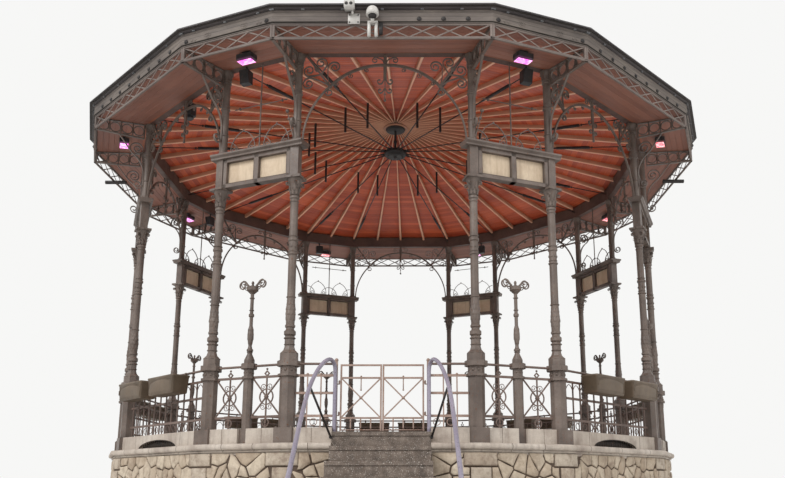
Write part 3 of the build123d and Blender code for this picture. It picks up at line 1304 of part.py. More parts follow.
def watch_cameras():
    """Two small round cases on the front frieze, one aimed each way."""
    radius = EAVE_RADIUS * cos(radians(WIDE_HALF_ANGLE))
    solids = []
    for shift, drop in ((-CAMERA_LENGTH * 2.3, 0), (-CAMERA_LENGTH, FRIEZE_HEIGHT / 2)):
        z = CORNICE_BOTTOM - CAMERA_DIAMETER / 2 - SEAT - drop
        y = -radius - SEAT
        body = rod((shift, y, z), (shift, y - CAMERA_DIAMETER, z), CAMERA_DIAMETER / 2)
        body += rod((shift - CAMERA_LENGTH / 2, y - CAMERA_DIAMETER, z),
                    (shift + CAMERA_LENGTH / 2, y - CAMERA_DIAMETER, z), CAMERA_DIAMETER)
        solids.append(body)
    return solids


def eave_lamps():
    """Tube lamp across the lower edge of the valance on the left and right sides."""
    distance = EAVE_RADIUS * cos(radians(WIDE_HALF_ANGLE)) - VALANCE_THICKNESS / 2
    z = VALANCE_BOTTOM - TUBE_DIAMETER / 2 - SEAT
    tube = rod((0, -distance - TUBE_LENGTH / 3, z), (0, -distance + TUBE_LENGTH * 2 / 3, z), TUBE_DIAMETER)
    return [turned(Pos(-side * TUBE_SHIFT, 0, 0) * tube, side * 2 * PAIR_ANGLE) for side in (-1, 1)]


def write(name, solids):
    """One file per node."""
    flat = []
    for item in solids:
        flat += item.solids() if hasattr(item, "solids") else [item]
    export_step(Compound(children=flat), os.path.join("parts", name + ".step"))


NODES = {
    "cellar_floor": cellar_floor(),
    "plinth_wall": plinth_wall(),
    "plinth_coping": plinth_coping(),
    "upstand_blocks": upstand_blocks(),
    "vent_covers": vent_covers(),
    "stage_floor": stage_floor(),
    "stair_landing": stair_landing(),
    "stair_blocks": stair_blocks(),
    "stair_treads": stair_treads(),
    "column_pedestals": pedestals(),
    "column_piers": column_piers(),
    "upper_columns": upper_columns(),
    "lyre_posts": lyre_posts(),
    "top_rails": top_rails(),
    "railing_wide": railing_wide(),
    "railing_narrow": railing_narrow(),
    "railing_front": railing_front(),
    "gate_posts": gate_posts(),
    "gate_pins": gate_pins(),
    "gate_left": [gate_leaf(-1)],
    "gate_right": [gate_leaf(1)],
    "handrail_left": [handrail(-1)],
    "handrail_right": [handrail(1)],
    "handrail_braces": [handrail_brace(-1), handrail_brace(1)],
    "planters": planters(),
    "ring_beam": ring_beam(),
    "eave_cantilevers": eave_cantilevers(),
    "eave_brackets": eave_brackets(),
    "bay_arches": bay_arches(),
    "board_cresting": board_cresting(),
    "cresting_rods": cresting_rods(),
    "ceiling_boards": ceiling_boards(),
    "roof_panels": roof_panels(),
    "roof_cap": roof_cap(),
    "rafters": rafters(),
    "roof_hub": roof_hub(),
    "king_rod": king_rod(),
    "lower_hub": lower_hub(),
    "tie_rods": tie_rods(),
    "tie_struts": tie_struts(),
    "frieze": frieze(),
    "eave_cornice": eave_cornice(),
    "soffit": soffit(),
    "valance": valance(),
    "floodlights": floodlights(),
    "speakers": speakers(),
    "watch_cameras": watch_cameras(),
    "eave_lamps": eave_lamps(),
}
shaft = column_shaft()
for number, middle in enumerate(NARROW_BAYS, start=1):
    pair = [turned(shaft, middle + side * NARROW_HALF_ANGLE) for side in (-1, 1)]
    NODES[f"column_pair_{number}"] = pair
NODES["name_boards"] = [name_board(a) for a in NARROW_BAYS]
NODES["board_cornices"] = [board_cornice(a) for a in NARROW_BAYS]

os.makedirs("parts", exist_ok=True)
for node_name, node_solids in NODES.items():
    write(node_name, node_solids)
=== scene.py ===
"""The bandstand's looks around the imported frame. Metres, Z up, the steps face -Y.

Shapes are drawn for the front bay, whose middle lies on -Y, and turned round Z into their bays.
"""
from math import cos, pi, radians, sin, tan

import bmesh
import bpy
import numpy as np
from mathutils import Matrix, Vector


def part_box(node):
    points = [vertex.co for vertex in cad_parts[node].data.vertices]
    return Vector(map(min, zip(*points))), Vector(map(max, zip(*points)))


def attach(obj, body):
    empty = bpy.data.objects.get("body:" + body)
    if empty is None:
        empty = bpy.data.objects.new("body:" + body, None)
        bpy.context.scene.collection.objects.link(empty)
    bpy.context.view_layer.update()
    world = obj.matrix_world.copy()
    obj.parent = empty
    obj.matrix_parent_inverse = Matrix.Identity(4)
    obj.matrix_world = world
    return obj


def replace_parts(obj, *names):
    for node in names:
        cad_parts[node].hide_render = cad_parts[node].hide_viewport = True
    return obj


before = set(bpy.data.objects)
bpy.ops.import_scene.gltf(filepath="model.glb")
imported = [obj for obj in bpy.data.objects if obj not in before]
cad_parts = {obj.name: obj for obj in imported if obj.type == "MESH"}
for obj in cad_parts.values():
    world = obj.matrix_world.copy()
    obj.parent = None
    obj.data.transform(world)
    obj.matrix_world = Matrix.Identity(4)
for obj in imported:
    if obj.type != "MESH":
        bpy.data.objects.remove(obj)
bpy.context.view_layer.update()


# Camera, lamps and floor. The camera stands on the path below the steps and tilts up at the roof;
# its place and lens were solved from the columns, boards and eaves. A white sky and three soft
# far lamps give an even light, and the floor is pale and plain.

scene = bpy.context.scene
scene.view_settings.view_transform = "Standard"
lens = bpy.data.cameras.new("camera")
lens.sensor_width = 36.0
lens.lens = 35.64
lens.shift_x = -0.0298
lens.shift_y = 0.1013
lens.clip_end = 900.0
camera = bpy.data.objects.new("camera", lens)
camera.location = (0.520, -15.613, 1.530)
camera.rotation_euler = (radians(102.164), 0.0, 0.0049)
scene.collection.objects.link(camera)
scene.camera = camera

SKY_STRENGTH = 0.50
BACKDROP = (0.93, 0.93, 0.92, 1.0)


def add_node(tree, kind, values=None, **settings):
    """A shader node with its settings; each socket gets a number, a colour or a link."""
    made = tree.nodes.new(kind)
    for key, value in settings.items():
        setattr(made, key, value)
    for socket, value in (values or {}).items():
        if isinstance(value, bpy.types.NodeSocket):
            tree.links.new(value, made.inputs[socket])
        else:
            made.inputs[socket].default_value = value
    return made


sky = bpy.data.worlds.new("sky")
sky.use_nodes = True
scene.world = sky
sky_tree = sky.node_tree
sky_tree.nodes.clear()
rays = add_node(sky_tree, "ShaderNodeLightPath").outputs
seen = add_node(sky_tree, "ShaderNodeMath", {0: rays["Is Camera Ray"], 1: rays["Is Glossy Ray"]},
                operation="MAXIMUM").outputs[0]
seen = add_node(sky_tree, "ShaderNodeMath", {0: seen, 1: rays["Is Transmission Ray"]},
                operation="MAXIMUM").outputs[0]
glow = add_node(sky_tree, "ShaderNodeBackground", {"Color": (1, 0.99, 0.97, 1), "Strength": SKY_STRENGTH})
plain = add_node(sky_tree, "ShaderNodeBackground", {"Color": BACKDROP, "Strength": 1.0})
both = add_node(sky_tree, "ShaderNodeMixShader", {0: seen, 1: glow.outputs[0], 2: plain.outputs[0]})
add_node(sky_tree, "ShaderNodeOutputWorld", {"Surface": both.outputs[0]})

for lamp_name, aim, power, spread in (("key_lamp", (52.0, 0.0, -38.0), 2.2, 35.0),
                                      ("fill_lamp", (60.0, 0.0, 50.0), 0.7, 50.0),
                                      ("rear_lamp", (-55.0, 0.0, -10.0), 0.6, 50.0)):
    lamp_data = bpy.data.lights.new(lamp_name, "SUN")
    lamp_data.angle = radians(spread)
    lamp_data.energy = power
    lamp = bpy.data.objects.new(lamp_name, lamp_data)
    lamp.rotation_euler = tuple(radians(turn) for turn in aim)
    scene.collection.objects.link(lamp)


def lay_mesh(name, verts, faces, material, slot, body="bandstand", closed=True, smooth=True, tone=None,
             along=None):
    """One piece from whole arrays: verts is (n, 3), faces (m, 3) or (m, 4), or a list of both. Poles
    and seams are merged and closed shells turned outwards; tone is a number and along a pair of
    numbers per vertex, for the finish to follow."""
    mesh = bpy.data.meshes.new(name)
    blocks = faces if isinstance(faces, list) else [faces]
    mesh.from_pydata(np.asarray(verts, float).tolist(), [], [f for block in blocks for f in block.tolist()])
    if tone is not None:
        mesh.attributes.new("tone", "FLOAT", "POINT").data.foreach_set("value", np.asarray(tone, np.float32))
    if along is not None:
        corners = np.zeros(len(mesh.loops), np.int32)
        mesh.loops.foreach_get("vertex_index", corners)
        pairs = np.asarray(along, np.float32)[corners]
        mesh.uv_layers.new(name="along").data.foreach_set("uv", pairs.ravel())
    if closed:
        work = bmesh.new()
        work.from_mesh(mesh)
        bmesh.ops.remove_doubles(work, verts=work.verts, dist=1e-5)
        bmesh.ops.recalc_face_normals(work, faces=work.faces)
        work.to_mesh(mesh)
        work.free()
    mesh.polygons.foreach_set("use_smooth", np.full(len(mesh.polygons), smooth))
    mesh.update()
    mesh.materials.append(material)
    piece = bpy.data.objects.new(name, mesh)
    scene.collection.objects.link(piece)
    if slot is not None:
        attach(piece, body)
    return piece


def grid_faces(rows, columns, round_trip=False):
    """Quads of a grid of rows by columns of points; round_trip joins the last column to the first."""
    row, column = np.meshgrid(np.arange(rows - 1), np.arange(columns if round_trip else columns - 1),
                              indexing="ij")
    after = (column + 1) % columns
    return np.stack([row * columns + column, row * columns + after,
                     (row + 1) * columns + after, (row + 1) * columns + column], -1).reshape(-1, 4)


def noise_of(tree, place, size, detail=4.0, rough=0.55, stretch=None, offset=(0, 0, 0)):
    """Noise whose patches are about size metres across, drawn out by stretch."""
    if stretch is not None or any(offset):
        place = add_node(tree, "ShaderNodeMapping",
                         {"Vector": place, "Scale": stretch or (1, 1, 1), "Location": offset}).outputs[0]
    return add_node(tree, "ShaderNodeTexNoise", {"Vector": place, "Scale": 0.5 / size, "Detail": detail,
                                                 "Roughness": rough}).outputs["Fac"]


def mixed(tree, share, first, second, way="MIX"):
    """Two colours blended by a share, which may be a number or a pattern."""
    return add_node(tree, "ShaderNodeMix", {0: share, 6: first, 7: second},
                    data_type="RGBA", blend_type=way).outputs[2]


def sharpened(tree, value, low, high, to_low=0.0, to_high=1.0):
    """A pattern stretched so that low and high become to_low and to_high, clipped there."""
    return add_node(tree, "ShaderNodeMapRange", {"Value": value, 1: low, 2: high, 3: to_low, 4: to_high}
                    ).outputs[0]


def rgba(colour):
    """A colour of three numbers with full cover."""
    return (*colour, 1.0)


def blank_finish(name):
    """A new material with its tree, its shader and the Object coordinates that its patterns follow."""
    material = bpy.data.materials.new(name)
    material.use_nodes = True
    tree = material.node_tree
    place = add_node(tree, "ShaderNodeTexCoord").outputs["Object"]
    return material, tree, tree.nodes["Principled BSDF"], place


def add_relief(tree, shader, height, strength, distance):
    """Fine relief in the shading: a bump of the pattern, distance metres high at full strength."""
    relief = add_node(tree, "ShaderNodeBump", {"Height": height, "Strength": strength, "Distance": distance})
    tree.links.new(relief.outputs[0], shader.inputs["Normal"])


def weathered(name, colours, size, rough=(0.5, 0.8), bump=0.25, grain=0.02, stretch=None, metal=0.0,
              dirt=None, dirt_amount=0.5, runs=0.0, chips=None, chip_share=0.0, tones=None, tone_mix=0.5):
    """A worn finish. Broad noise of the given size blends the colours; dirt lies in patches and, by
    runs, in streaks down the walls; chips are small bare spots; tones shifts each stone or board
    between two colours; a fine noise of the grain's size gives the bump and the gloss its breaks."""
    material, tree, shader, place = blank_finish(name)
    broad = noise_of(tree, place, size, 5.0, 0.6, stretch)
    ramp = add_node(tree, "ShaderNodeValToRGB", {"Fac": broad})
    steps = ramp.color_ramp.elements
    steps[0].position, steps[1].position = 0.32, 0.68
    steps[0].color, steps[1].color = rgba(colours[0]), rgba(colours[-1])
    if len(colours) == 3:
        steps.new(0.5).color = rgba(colours[1])
    colour = ramp.outputs["Color"]
    if tones is not None:
        tone = add_node(tree, "ShaderNodeAttribute", attribute_name="tone").outputs["Fac"]
        shade = mixed(tree, tone, rgba(tones[0]), rgba(tones[1]))
        colour = mixed(tree, tone_mix, colour, shade)
    fine = noise_of(tree, place, grain, 3.0, 0.6, stretch)
    colour = mixed(tree, sharpened(tree, fine, 0.3, 0.7, 0.0, 0.22), colour, rgba(colours[0]), "MULTIPLY")
    if dirt is not None:
        patch = sharpened(tree, noise_of(tree, place, size * 0.7, 6.0, 0.7, offset=(3, 7, 5)),
                          0.46, 0.72, 0.0, dirt_amount)
        colour = mixed(tree, patch, colour, rgba(dirt))
        if runs > 0:
            streak = noise_of(tree, place, 0.05, 4.0, 0.6, stretch=(1, 1, 0.08))
            colour = mixed(tree, sharpened(tree, streak, 0.5, 0.75, 0.0, runs), colour, rgba(dirt))
    if chips is not None:
        spot = sharpened(tree, noise_of(tree, place, grain * 1.6, 5.0, 0.65, offset=(9, 2, 4)),
                         0.64 - chip_share, 0.66 - chip_share)
        colour = mixed(tree, spot, colour, rgba(chips))
    tree.links.new(colour, shader.inputs["Base Color"])
    gloss = noise_of(tree, place, size * 0.4, 4.0, 0.6, offset=(1, 6, 8))
    tree.links.new(sharpened(tree, gloss, 0.3, 0.7, rough[0], rough[1]), shader.inputs["Roughness"])
    shader.inputs["Metallic"].default_value = metal
    add_relief(tree, shader, fine, bump, grain * 0.5)
    return material


def finish_node(name, material):
    """Gives a CAD node its finish."""
    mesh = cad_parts[name].data
    mesh.materials.clear()
    mesh.materials.append(material)


FLOOR_SIZE = 800.0
floor_paint = weathered("pale_floor", [(0.78, 0.78, 0.77), (0.81, 0.81, 0.80)], 3.0, (0.8, 0.9), 0.05)
floor_line = np.linspace(-FLOOR_SIZE / 2, FLOOR_SIZE / 2, 9)
floor_x, floor_y = np.meshgrid(floor_line, floor_line)
floor = lay_mesh("floor", np.stack([floor_x, floor_y, np.zeros_like(floor_x)], -1).reshape(-1, 3),
                 grid_faces(9, 9), floor_paint, None, closed=False)


# Plinth wall. Cream rubble laid dry-looking as polygons with dark recessed joints, held at the
# sixteen corners by dressed quoins that go long and short by turns. The CAD wall is the mortar.

COLUMN_RADIUS = 5.05
WIDE_HALF = radians(15.0)
NARROW_HALF = radians(7.5)
WIDE_BAYS = [45.0 * k for k in range(8)]
NARROW_BAYS = [45.0 * k + 22.5 for k in range(8)]
COLUMN_ANGLES = [bay + side * 7.5 for bay in NARROW_BAYS for side in (-1, 1)]
WALL_RADIUS = 5.20
WALL_TOP = 1.985
STAIR_HALF = 0.672
JOINT = 0.024
STONE_PROUD = 0.024
STONE_PITCH = 0.195
STONE_SIDES = 18
QUOIN_COURSES = 10
QUOIN_LENGTHS = (0.135, 0.215)
stone_draw = np.random.default_rng(7)


def turned(verts, faces, angles):
    """The same shape in several bays: each angle in degrees turns all vertices round Z."""
    turn = np.radians(np.atleast_1d(angles))
    zero, one = np.zeros_like(turn), np.ones_like(turn)
    spin = np.stack([np.stack([np.cos(turn), -np.sin(turn), zero], -1),
                     np.stack([np.sin(turn), np.cos(turn), zero], -1),
                     np.stack([zero, zero, one], -1)], 1)
    placed = np.einsum("kij,nj->kni", spin, verts)
    shift = (np.arange(len(turn)) * len(verts))[:, None, None]
    return placed.reshape(-1, 3), (faces[None] + shift).reshape(-1, faces.shape[1])


def spun(shape, turn):
    """A shape turned by degrees round Z."""
    return turned(*shape, turn)


def joined(shapes):
    """Several (verts, faces) with equal-sided faces as one."""
    starts = np.cumsum([0] + [len(verts) for verts, _ in shapes[:-1]])
    return (np.concatenate([verts for verts, _ in shapes]),
            np.concatenate([faces + start for (_, faces), start in zip(shapes, starts)]))


def quoin_reach(course):
    """Half length of a corner block: long and short by turns."""
    return QUOIN_LENGTHS[course % 2]


def rubble_face(half, distance, blocked):
    """Stones of one flat face. Each is star-shaped about its seed: along every direction its reach is
    the least of half the way to a neighbour over the cosine between, and the way to the face's edges
    and corner blocks, less half a joint. The directions crowd at its corners, where the inverse reach
    plus its second change is large, and five rings lift it to a low uneven crown."""
    columns, rows = int(2 * half / STONE_PITCH) + 1, int(WALL_TOP / (STONE_PITCH * 0.86)) + 1
    x = (np.arange(columns)[None, :] + 0.5 * (np.arange(rows)[:, None] % 2)) * STONE_PITCH - half
    z = np.repeat((np.arange(rows) + 0.5)[:, None] * WALL_TOP / rows, columns, 1)
    seeds = np.stack([x.ravel(), z.ravel()], -1) + stone_draw.uniform(-0.072, 0.072, (x.size, 2))
    level = seeds[:, 1] / WALL_TOP * QUOIN_COURSES
    middle = (np.floor(level) % 2 == 0) & (np.abs(level % 1 - 0.5) < 0.25)
    edge = half - np.where(middle, QUOIN_LENGTHS[0], QUOIN_LENGTHS[1]) - 0.045
    keep = (np.abs(seeds[:, 0]) < edge) & (seeds[:, 1] > 0.05) & (seeds[:, 1] < WALL_TOP - 0.045)
    keep &= (np.abs(seeds[:, 0]) > blocked + 0.045) | (blocked == 0)
    seeds = seeds[keep]
    count, fine = len(seeds), 144
    turn = np.linspace(0, 2 * pi, fine, endpoint=False)
    ray = np.stack([np.cos(turn), np.sin(turn)], -1)
    gap = seeds[None, :, :] - seeds[:, None, :]
    along = np.einsum("ijk,tk->ijt", gap, ray)
    square = (gap ** 2).sum(-1)[:, :, None]
    reach = np.where(along > 1e-6, square / (2 * np.maximum(along, 1e-6)), 9.0).min(1) - JOINT / 2
    height = WALL_TOP / QUOIN_COURSES
    walls = [(-9, 9, -1, JOINT / 2), (-9, 9, WALL_TOP - JOINT / 2, 9)]
    for course in range(QUOIN_COURSES):
        low, high = course * height - JOINT / 2, (course + 1) * height + JOINT / 2
        side = half - quoin_reach(course) - JOINT
        walls += [(side, 9, low, high), (-9, -side, low, high)]
    if blocked:
        walls.append((-blocked, blocked, -1, 9))
    for x0, x1, z0, z1 in walls:
        with np.errstate(divide="ignore", invalid="ignore"):
            near_x = np.stack([(x0 - seeds[:, :1]) / ray[:, 0], (x1 - seeds[:, :1]) / ray[:, 0]])
            near_z = np.stack([(z0 - seeds[:, 1:]) / ray[:, 1], (z1 - seeds[:, 1:]) / ray[:, 1]])
        enter = np.maximum(near_x.min(0), near_z.min(0))
        leave = np.minimum(near_x.max(0), near_z.max(0))
        reach = np.where((enter < leave) & (enter > 0), np.minimum(reach, enter), reach)
    reach = np.maximum(reach, 0.006)
    inverse = 1 / reach
    step = turn[1]
    kink = np.abs(inverse + (np.roll(inverse, 1, 1) + np.roll(inverse, -1, 1) - 2 * inverse) / step ** 2)
    crowd = np.cumsum(np.minimum(kink, 45 * inverse) + 2.5 * inverse, 1)
    crowd /= crowd[:, -1:]
    share = (np.arange(STONE_SIDES) + 0.5) / STONE_SIDES
    turns = np.stack([np.interp(share, row, turn) for row in crowd])
    reach = np.stack([np.interp(angles, turn, row, period=2 * pi) for angles, row in zip(turns, reach)])
    ray_x, ray_z = np.cos(turns), np.sin(turns)
    tilt = stone_draw.uniform(-0.05, 0.05, (count, 2))
    lift = stone_draw.uniform(0.75, 1.15, count) * STONE_PROUD
    wave = stone_draw.uniform(0, 6.28, (count, 4))
    rings = [(1.0, 0.0, -0.012), (1.0, 0.0, 0.55), (1.0, 0.009, 0.95), (0.5, 0.0, 1.08), (0.0, 0.0, 1.1)]
    points = []
    for part, inset, rise in rings:
        r = np.maximum(reach - inset, 0.002) * part
        dx, dz = r * ray_x, r * ray_z
        swell = 0.0045 * (np.sin(31 * dx + wave[:, :1]) * np.cos(27 * dz + wave[:, 1:2])
                          + np.sin(48 * dz + wave[:, 2:3] + 23 * dx)) * (rise > 0.9)
        out = rise * lift[:, None] + (dx * tilt[:, :1] + dz * tilt[:, 1:2]) * (rise > 0.5) + swell
        points.append(np.stack([seeds[:, :1] + dx, -distance - out, seeds[:, 1:] + dz], -1))
    verts = np.stack(points, 1)
    each = len(rings) * STONE_SIDES
    faces = (grid_faces(len(rings), STONE_SIDES, True)[None] + (np.arange(count) * each)[:, None, None])
    tone = np.repeat(stone_draw.uniform(0, 1, count), each)
    return verts.reshape(-1, 3), faces.reshape(-1, 4), tone


def quoin(course, angle):
    """One corner block: a grid along the corner line and up, which rises from the joint to the face
    within an edge and is bent round the corner, where it stands out along the corner's own line."""
    left, right = (WIDE_HALF, NARROW_HALF) if angle % 45 < 22.5 else (NARROW_HALF, WIDE_HALF)
    reach = quoin_reach(course) + stone_draw.uniform(-0.02, 0.02)
    height = WALL_TOP / QUOIN_COURSES
    low, high = course * height + JOINT / 2, (course + 1) * height - JOINT / 2
    edge = np.array([0, 0.0, 0.007, 0.02, 0.05])
    u = np.concatenate([-reach + edge, [-reach / 2, 0, reach / 2], (reach - edge)[::-1]])
    v = np.concatenate([low + edge, [(low + high) / 2], (high - edge)[::-1]])
    ramp_u = np.array([-0.1, 0.55, 0.85, 1, 1.05, 1.1, 1.1, 1.1, 1.05, 1, 0.85, 0.55, -0.1])
    ramp_v = np.array([-0.1, 0.55, 0.85, 1, 1.05, 1.1, 1.05, 1, 0.85, 0.55, -0.1])
    rise = np.minimum(ramp_u[:, None], ramp_v[None, :]) * STONE_PROUD * stone_draw.uniform(1.0, 1.35)
    rise = rise + stone_draw.normal(0, 0.0016, rise.shape) * (rise > STONE_PROUD * 0.7)
    slope = np.where(u < 0, left, right)[:, None]
    slope = np.where(u[:, None] == 0, 0.0, slope * np.sign(u)[:, None])
    out = rise / np.where(u[:, None] == 0, cos((left + right) / 2), 1.0)
    x = u[:, None] * np.cos(slope) + out * np.sin(slope) + 0 * v[None, :]
    y = -WALL_RADIUS + np.abs(u[:, None]) * np.sin(np.abs(slope)) - out * np.cos(slope) + 0 * v[None, :]
    z = np.broadcast_to(v[None, :], x.shape)
    return np.stack([x, y, z], -1).reshape(-1, 3), grid_faces(len(u), len(v))


rubble, rubble_tones = [], []
for bay in WIDE_BAYS + NARROW_BAYS:
    face_half = WIDE_HALF if bay in WIDE_BAYS else NARROW_HALF
    stone_verts, stone_faces, stone_tone = rubble_face(
        WALL_RADIUS * sin(face_half), WALL_RADIUS * cos(face_half), STAIR_HALF if bay == 0 else 0)
    rubble.append(turned(stone_verts, stone_faces, bay))
    rubble_tones.append(stone_tone)
quoins = [spun(quoin(course, angle), angle) for angle in COLUMN_ANGLES for course in range(QUOIN_COURSES)]
quoin_tones = np.repeat(stone_draw.uniform(0, 1, len(quoins)), len(quoins[0][0]))

rubble_stone = weathered(
    "cream_rubble", [(0.40, 0.32, 0.235), (0.54, 0.445, 0.335), (0.63, 0.545, 0.43)], 0.13, (0.7, 0.9), 0.55,
    0.012, dirt=(0.17, 0.115, 0.08), dirt_amount=0.7, runs=0.2,
    tones=((0.36, 0.275, 0.20), (0.64, 0.56, 0.45)), tone_mix=0.5)
quoin_stone = weathered(
    "pecked_quoins", [(0.40, 0.325, 0.25), (0.53, 0.455, 0.365)], 0.08, (0.75, 0.92), 0.8, 0.006,
    dirt=(0.16, 0.105, 0.075), dirt_amount=0.85, runs=0.2, tones=((0.40, 0.32, 0.245), (0.58, 0.515, 0.43)),
    tone_mix=0.4)
mortar = weathered("dark_mortar", [(0.06, 0.04, 0.028), (0.13, 0.09, 0.065)], 0.08, (0.85, 0.95), 0.6, 0.005)
half_count = len(WIDE_BAYS)
for stone_name, span in (("rubble_stones", slice(0, half_count)),
                         ("rubble_stones_narrow", slice(half_count, None))):
    lay_mesh(stone_name, *joined(rubble[span]), rubble_stone, "rubble_stone",
             tone=np.concatenate(rubble_tones[span]))
lay_mesh("quoin_stones", *joined(quoins), quoin_stone, "rubble_stone", tone=quoin_tones, closed=False)
finish_node("plinth_wall", mortar)


# Coping, upstand and vents. Smooth limestone coping with a rolled nose, dressed blocks between the
# column feet, mortar joints a finger wide, and half-moon vents closed by dark plates with bars.

COPING_BACK, COPING_EDGE, COPING_NOSE = 4.90, 5.26, 5.29
COPING_BED, COPING_LOW, ROLL_LOW, COPING_HIGH = 1.9455, 1.985, 2.015, 2.10
UPSTAND_TOP = 2.31
UPSTAND_HALF = 0.115
LYRE_FOOT_HALF = 0.071
JOINT_PROUD = 0.0008
VENT_HALF, VENT_RISE = 0.60, 0.125
WIDE_DISTANCE = COLUMN_RADIUS * cos(WIDE_HALF)
NARROW_DISTANCE = COLUMN_RADIUS * cos(NARROW_HALF)


def across_bay(profile, half_angle, x0, x1, steps=2):
    """A profile of (corner radius, z) drawn across a bay from x0 to x1: every point keeps its distance
    from the middle, which is the corner radius times the cosine of the half angle."""
    profile = np.asarray(profile, float)
    x = np.linspace(x0, x1, steps)
    verts = np.stack([np.broadcast_to(x[:, None], (steps, len(profile))),
                      np.broadcast_to(-profile[:, 0] * cos(half_angle), (steps, len(profile))),
                      np.broadcast_to(profile[:, 1], (steps, len(profile)))], -1)
    return verts.reshape(-1, 3), grid_faces(steps, len(profile))


def half_round(edge, bulge, low, high, steps=9):
    """Points of a nose: bulge times the square root of one less the square of the height's share."""
    share = np.linspace(-1, 1, steps)
    z = (low + high) / 2 + share * (high - low) / 2
    return [(edge + bulge * np.sqrt(max(1 - s * s, 0)), level) for s, level in zip(share, z)]


def capped(rings):
    """Two rings of as many points joined by sides; each end closes on its ring's middle."""
    first, last = (ring.mean(0) + 0 * ring for ring in rings)
    return np.concatenate([first, *rings, last]), grid_faces(4, len(first), True)


def mitred(profile, half_angle, cut=None):
    """A closed profile of (corner radius, z) run along a bay between its two corner lines, where x is
    the radius times the sine of the half angle; cut leaves out the middle up to that x."""
    profile = np.asarray(profile, float)
    x = profile[:, 0] * sin(half_angle)
    spans = [(-x, x)] if cut is None else [(-x, 0 * x - cut), (0 * x + cut, x)]
    return [capped([np.stack([side, -profile[:, 0] * cos(half_angle), profile[:, 1]], -1) for side in span])
            for span in spans]


def slab(x, low, high, front, back):
    """A wall along X with its own foot and top at each x, between two depths, closed at both ends."""
    x, low, high = np.broadcast_arrays(np.asarray(x, float), low, high)
    ring = np.stack([np.stack([x, front + 0 * x, low], -1), np.stack([x, front + 0 * x, high], -1),
                     np.stack([x, back + 0 * x, high], -1), np.stack([x, back + 0 * x, low], -1)], 1)
    ends = np.array([[0, 1, 2, 3], [3, 2, 1, 0]]) + np.array([[0], [4 * len(x) - 4]])
    return ring.reshape(-1, 3), np.concatenate([grid_faces(len(x), 4, True), ends])


def vent_arch(x):
    """Height of the half-moon over its foot: the square root of one less the square of x's share."""
    return VENT_RISE * np.sqrt(np.clip(1 - (x / VENT_HALF) ** 2, 0, 1))


def tube(path, radius, sides=8, flat=1.0):
    """A round bar along a path: at each point a ring of the radius there stands across the path's
    direction, and the ends close on the path's own end points. flat squeezes the ring one way."""
    path = np.asarray(path, float)
    radius = np.broadcast_to(np.asarray(radius, float), len(path))
    heading = np.gradient(path, axis=0)
    heading /= np.linalg.norm(heading, axis=1, keepdims=True)
    spread = np.ptp(path, axis=0)
    helper = np.eye(3)[int(np.argmin(spread))]
    side = np.cross(heading, helper)
    side /= np.linalg.norm(side, axis=1, keepdims=True)
    other = np.cross(heading, side)
    turn = np.linspace(0, 2 * pi, sides, endpoint=False)
    ring = (np.cos(turn)[None, :, None] * side[:, None, :]
            + flat * np.sin(turn)[None, :, None] * other[:, None, :]) * radius[:, None, None]
    verts = np.concatenate([np.repeat(path[:1, None], sides, 1), path[:, None] + ring,
                            np.repeat(path[-1:, None], sides, 1)])
    return verts.reshape(-1, 3), grid_faces(len(path) + 2, sides, True)


nose = half_round(COPING_EDGE, COPING_NOSE - COPING_EDGE, ROLL_LOW, COPING_HIGH, 11)
coping_loop = ([(COPING_BACK, COPING_BED), (WALL_RADIUS - 0.001, COPING_BED),
                (WALL_RADIUS - 0.001, COPING_LOW), (5.232, COPING_LOW), (5.238, COPING_LOW + 0.004),
                (5.238, ROLL_LOW - 0.012), (5.228, ROLL_LOW - 0.007), (5.228, ROLL_LOW)]
               + nose + [(COPING_BACK, COPING_HIGH)])
joint_line = [(radius + 0.0014, level) for radius, level in coping_loop[3:-1]]
joints, copings, upstands, vent_plates = [], [], [], []
for bay in WIDE_BAYS + NARROW_BAYS:
    wide = bay in WIDE_BAYS
    if bay == 0:
        coping_spots, upstand_spots = (-0.98, 0.95), (-0.95, 0.95)
    elif wide:
        coping_spots, upstand_spots = (-0.86, -0.02, 0.83), (-0.72, 0.72)
    else:
        coping_spots, upstand_spots = (-0.24, 0.27), (-0.33, 0.33)
    half_angle = WIDE_HALF if wide else NARROW_HALF
    distance = COLUMN_RADIUS * cos(half_angle)
    end = COLUMN_RADIUS * sin(half_angle)
    copings += [spun(run, bay) for run in mitred(coping_loop, half_angle, STAIR_HALF if bay == 0 else None)]
    for spot in coping_spots:
        joints.append(spun(across_bay(joint_line, half_angle, spot - 0.004, spot + 0.004), bay))
    front, back = -distance - UPSTAND_HALF, -distance + UPSTAND_HALF
    if bay == 0 or not wide:
        inner = STAIR_HALF if wide else LYRE_FOOT_HALF
        for side in (-1, 1):
            block = slab(side * np.linspace(inner, end, 5), COPING_HIGH, UPSTAND_TOP, front, back)
            upstands.append(spun(block, bay))
    else:
        swing = VENT_HALF * np.sin(np.linspace(-pi / 2, pi / 2, 25))
        line = np.concatenate([[-end, -VENT_HALF - 0.001], swing, [VENT_HALF + 0.001, end]])
        upstands.append(spun(slab(line, COPING_HIGH + vent_arch(line), UPSTAND_TOP, front, back), bay))
        plate = slab(swing * 1.02, COPING_HIGH + 0.001, COPING_HIGH + 0.002 + vent_arch(swing), front + 0.070,
                     front + 0.082)
        vent_plates.append(spun(plate, bay))
        rim = np.stack([swing, front + 0.004 + 0 * swing, COPING_HIGH + vent_arch(swing) - 0.006], -1)
        vent_plates.append(spun(tube(rim[1:-1], 0.007, 6, 1.5), bay))
    for spot in upstand_spots:
        for near, far in ((front - JOINT_PROUD, front), (back, back + JOINT_PROUD)):
            strip = slab([spot - 0.0025, spot + 0.0025], COPING_HIGH, UPSTAND_TOP + JOINT_PROUD, near, far)
            joints.append(spun(strip, bay))
lay_mesh("coping_joints", *joined(joints), mortar, "dressed_stone", closed=False, smooth=False)

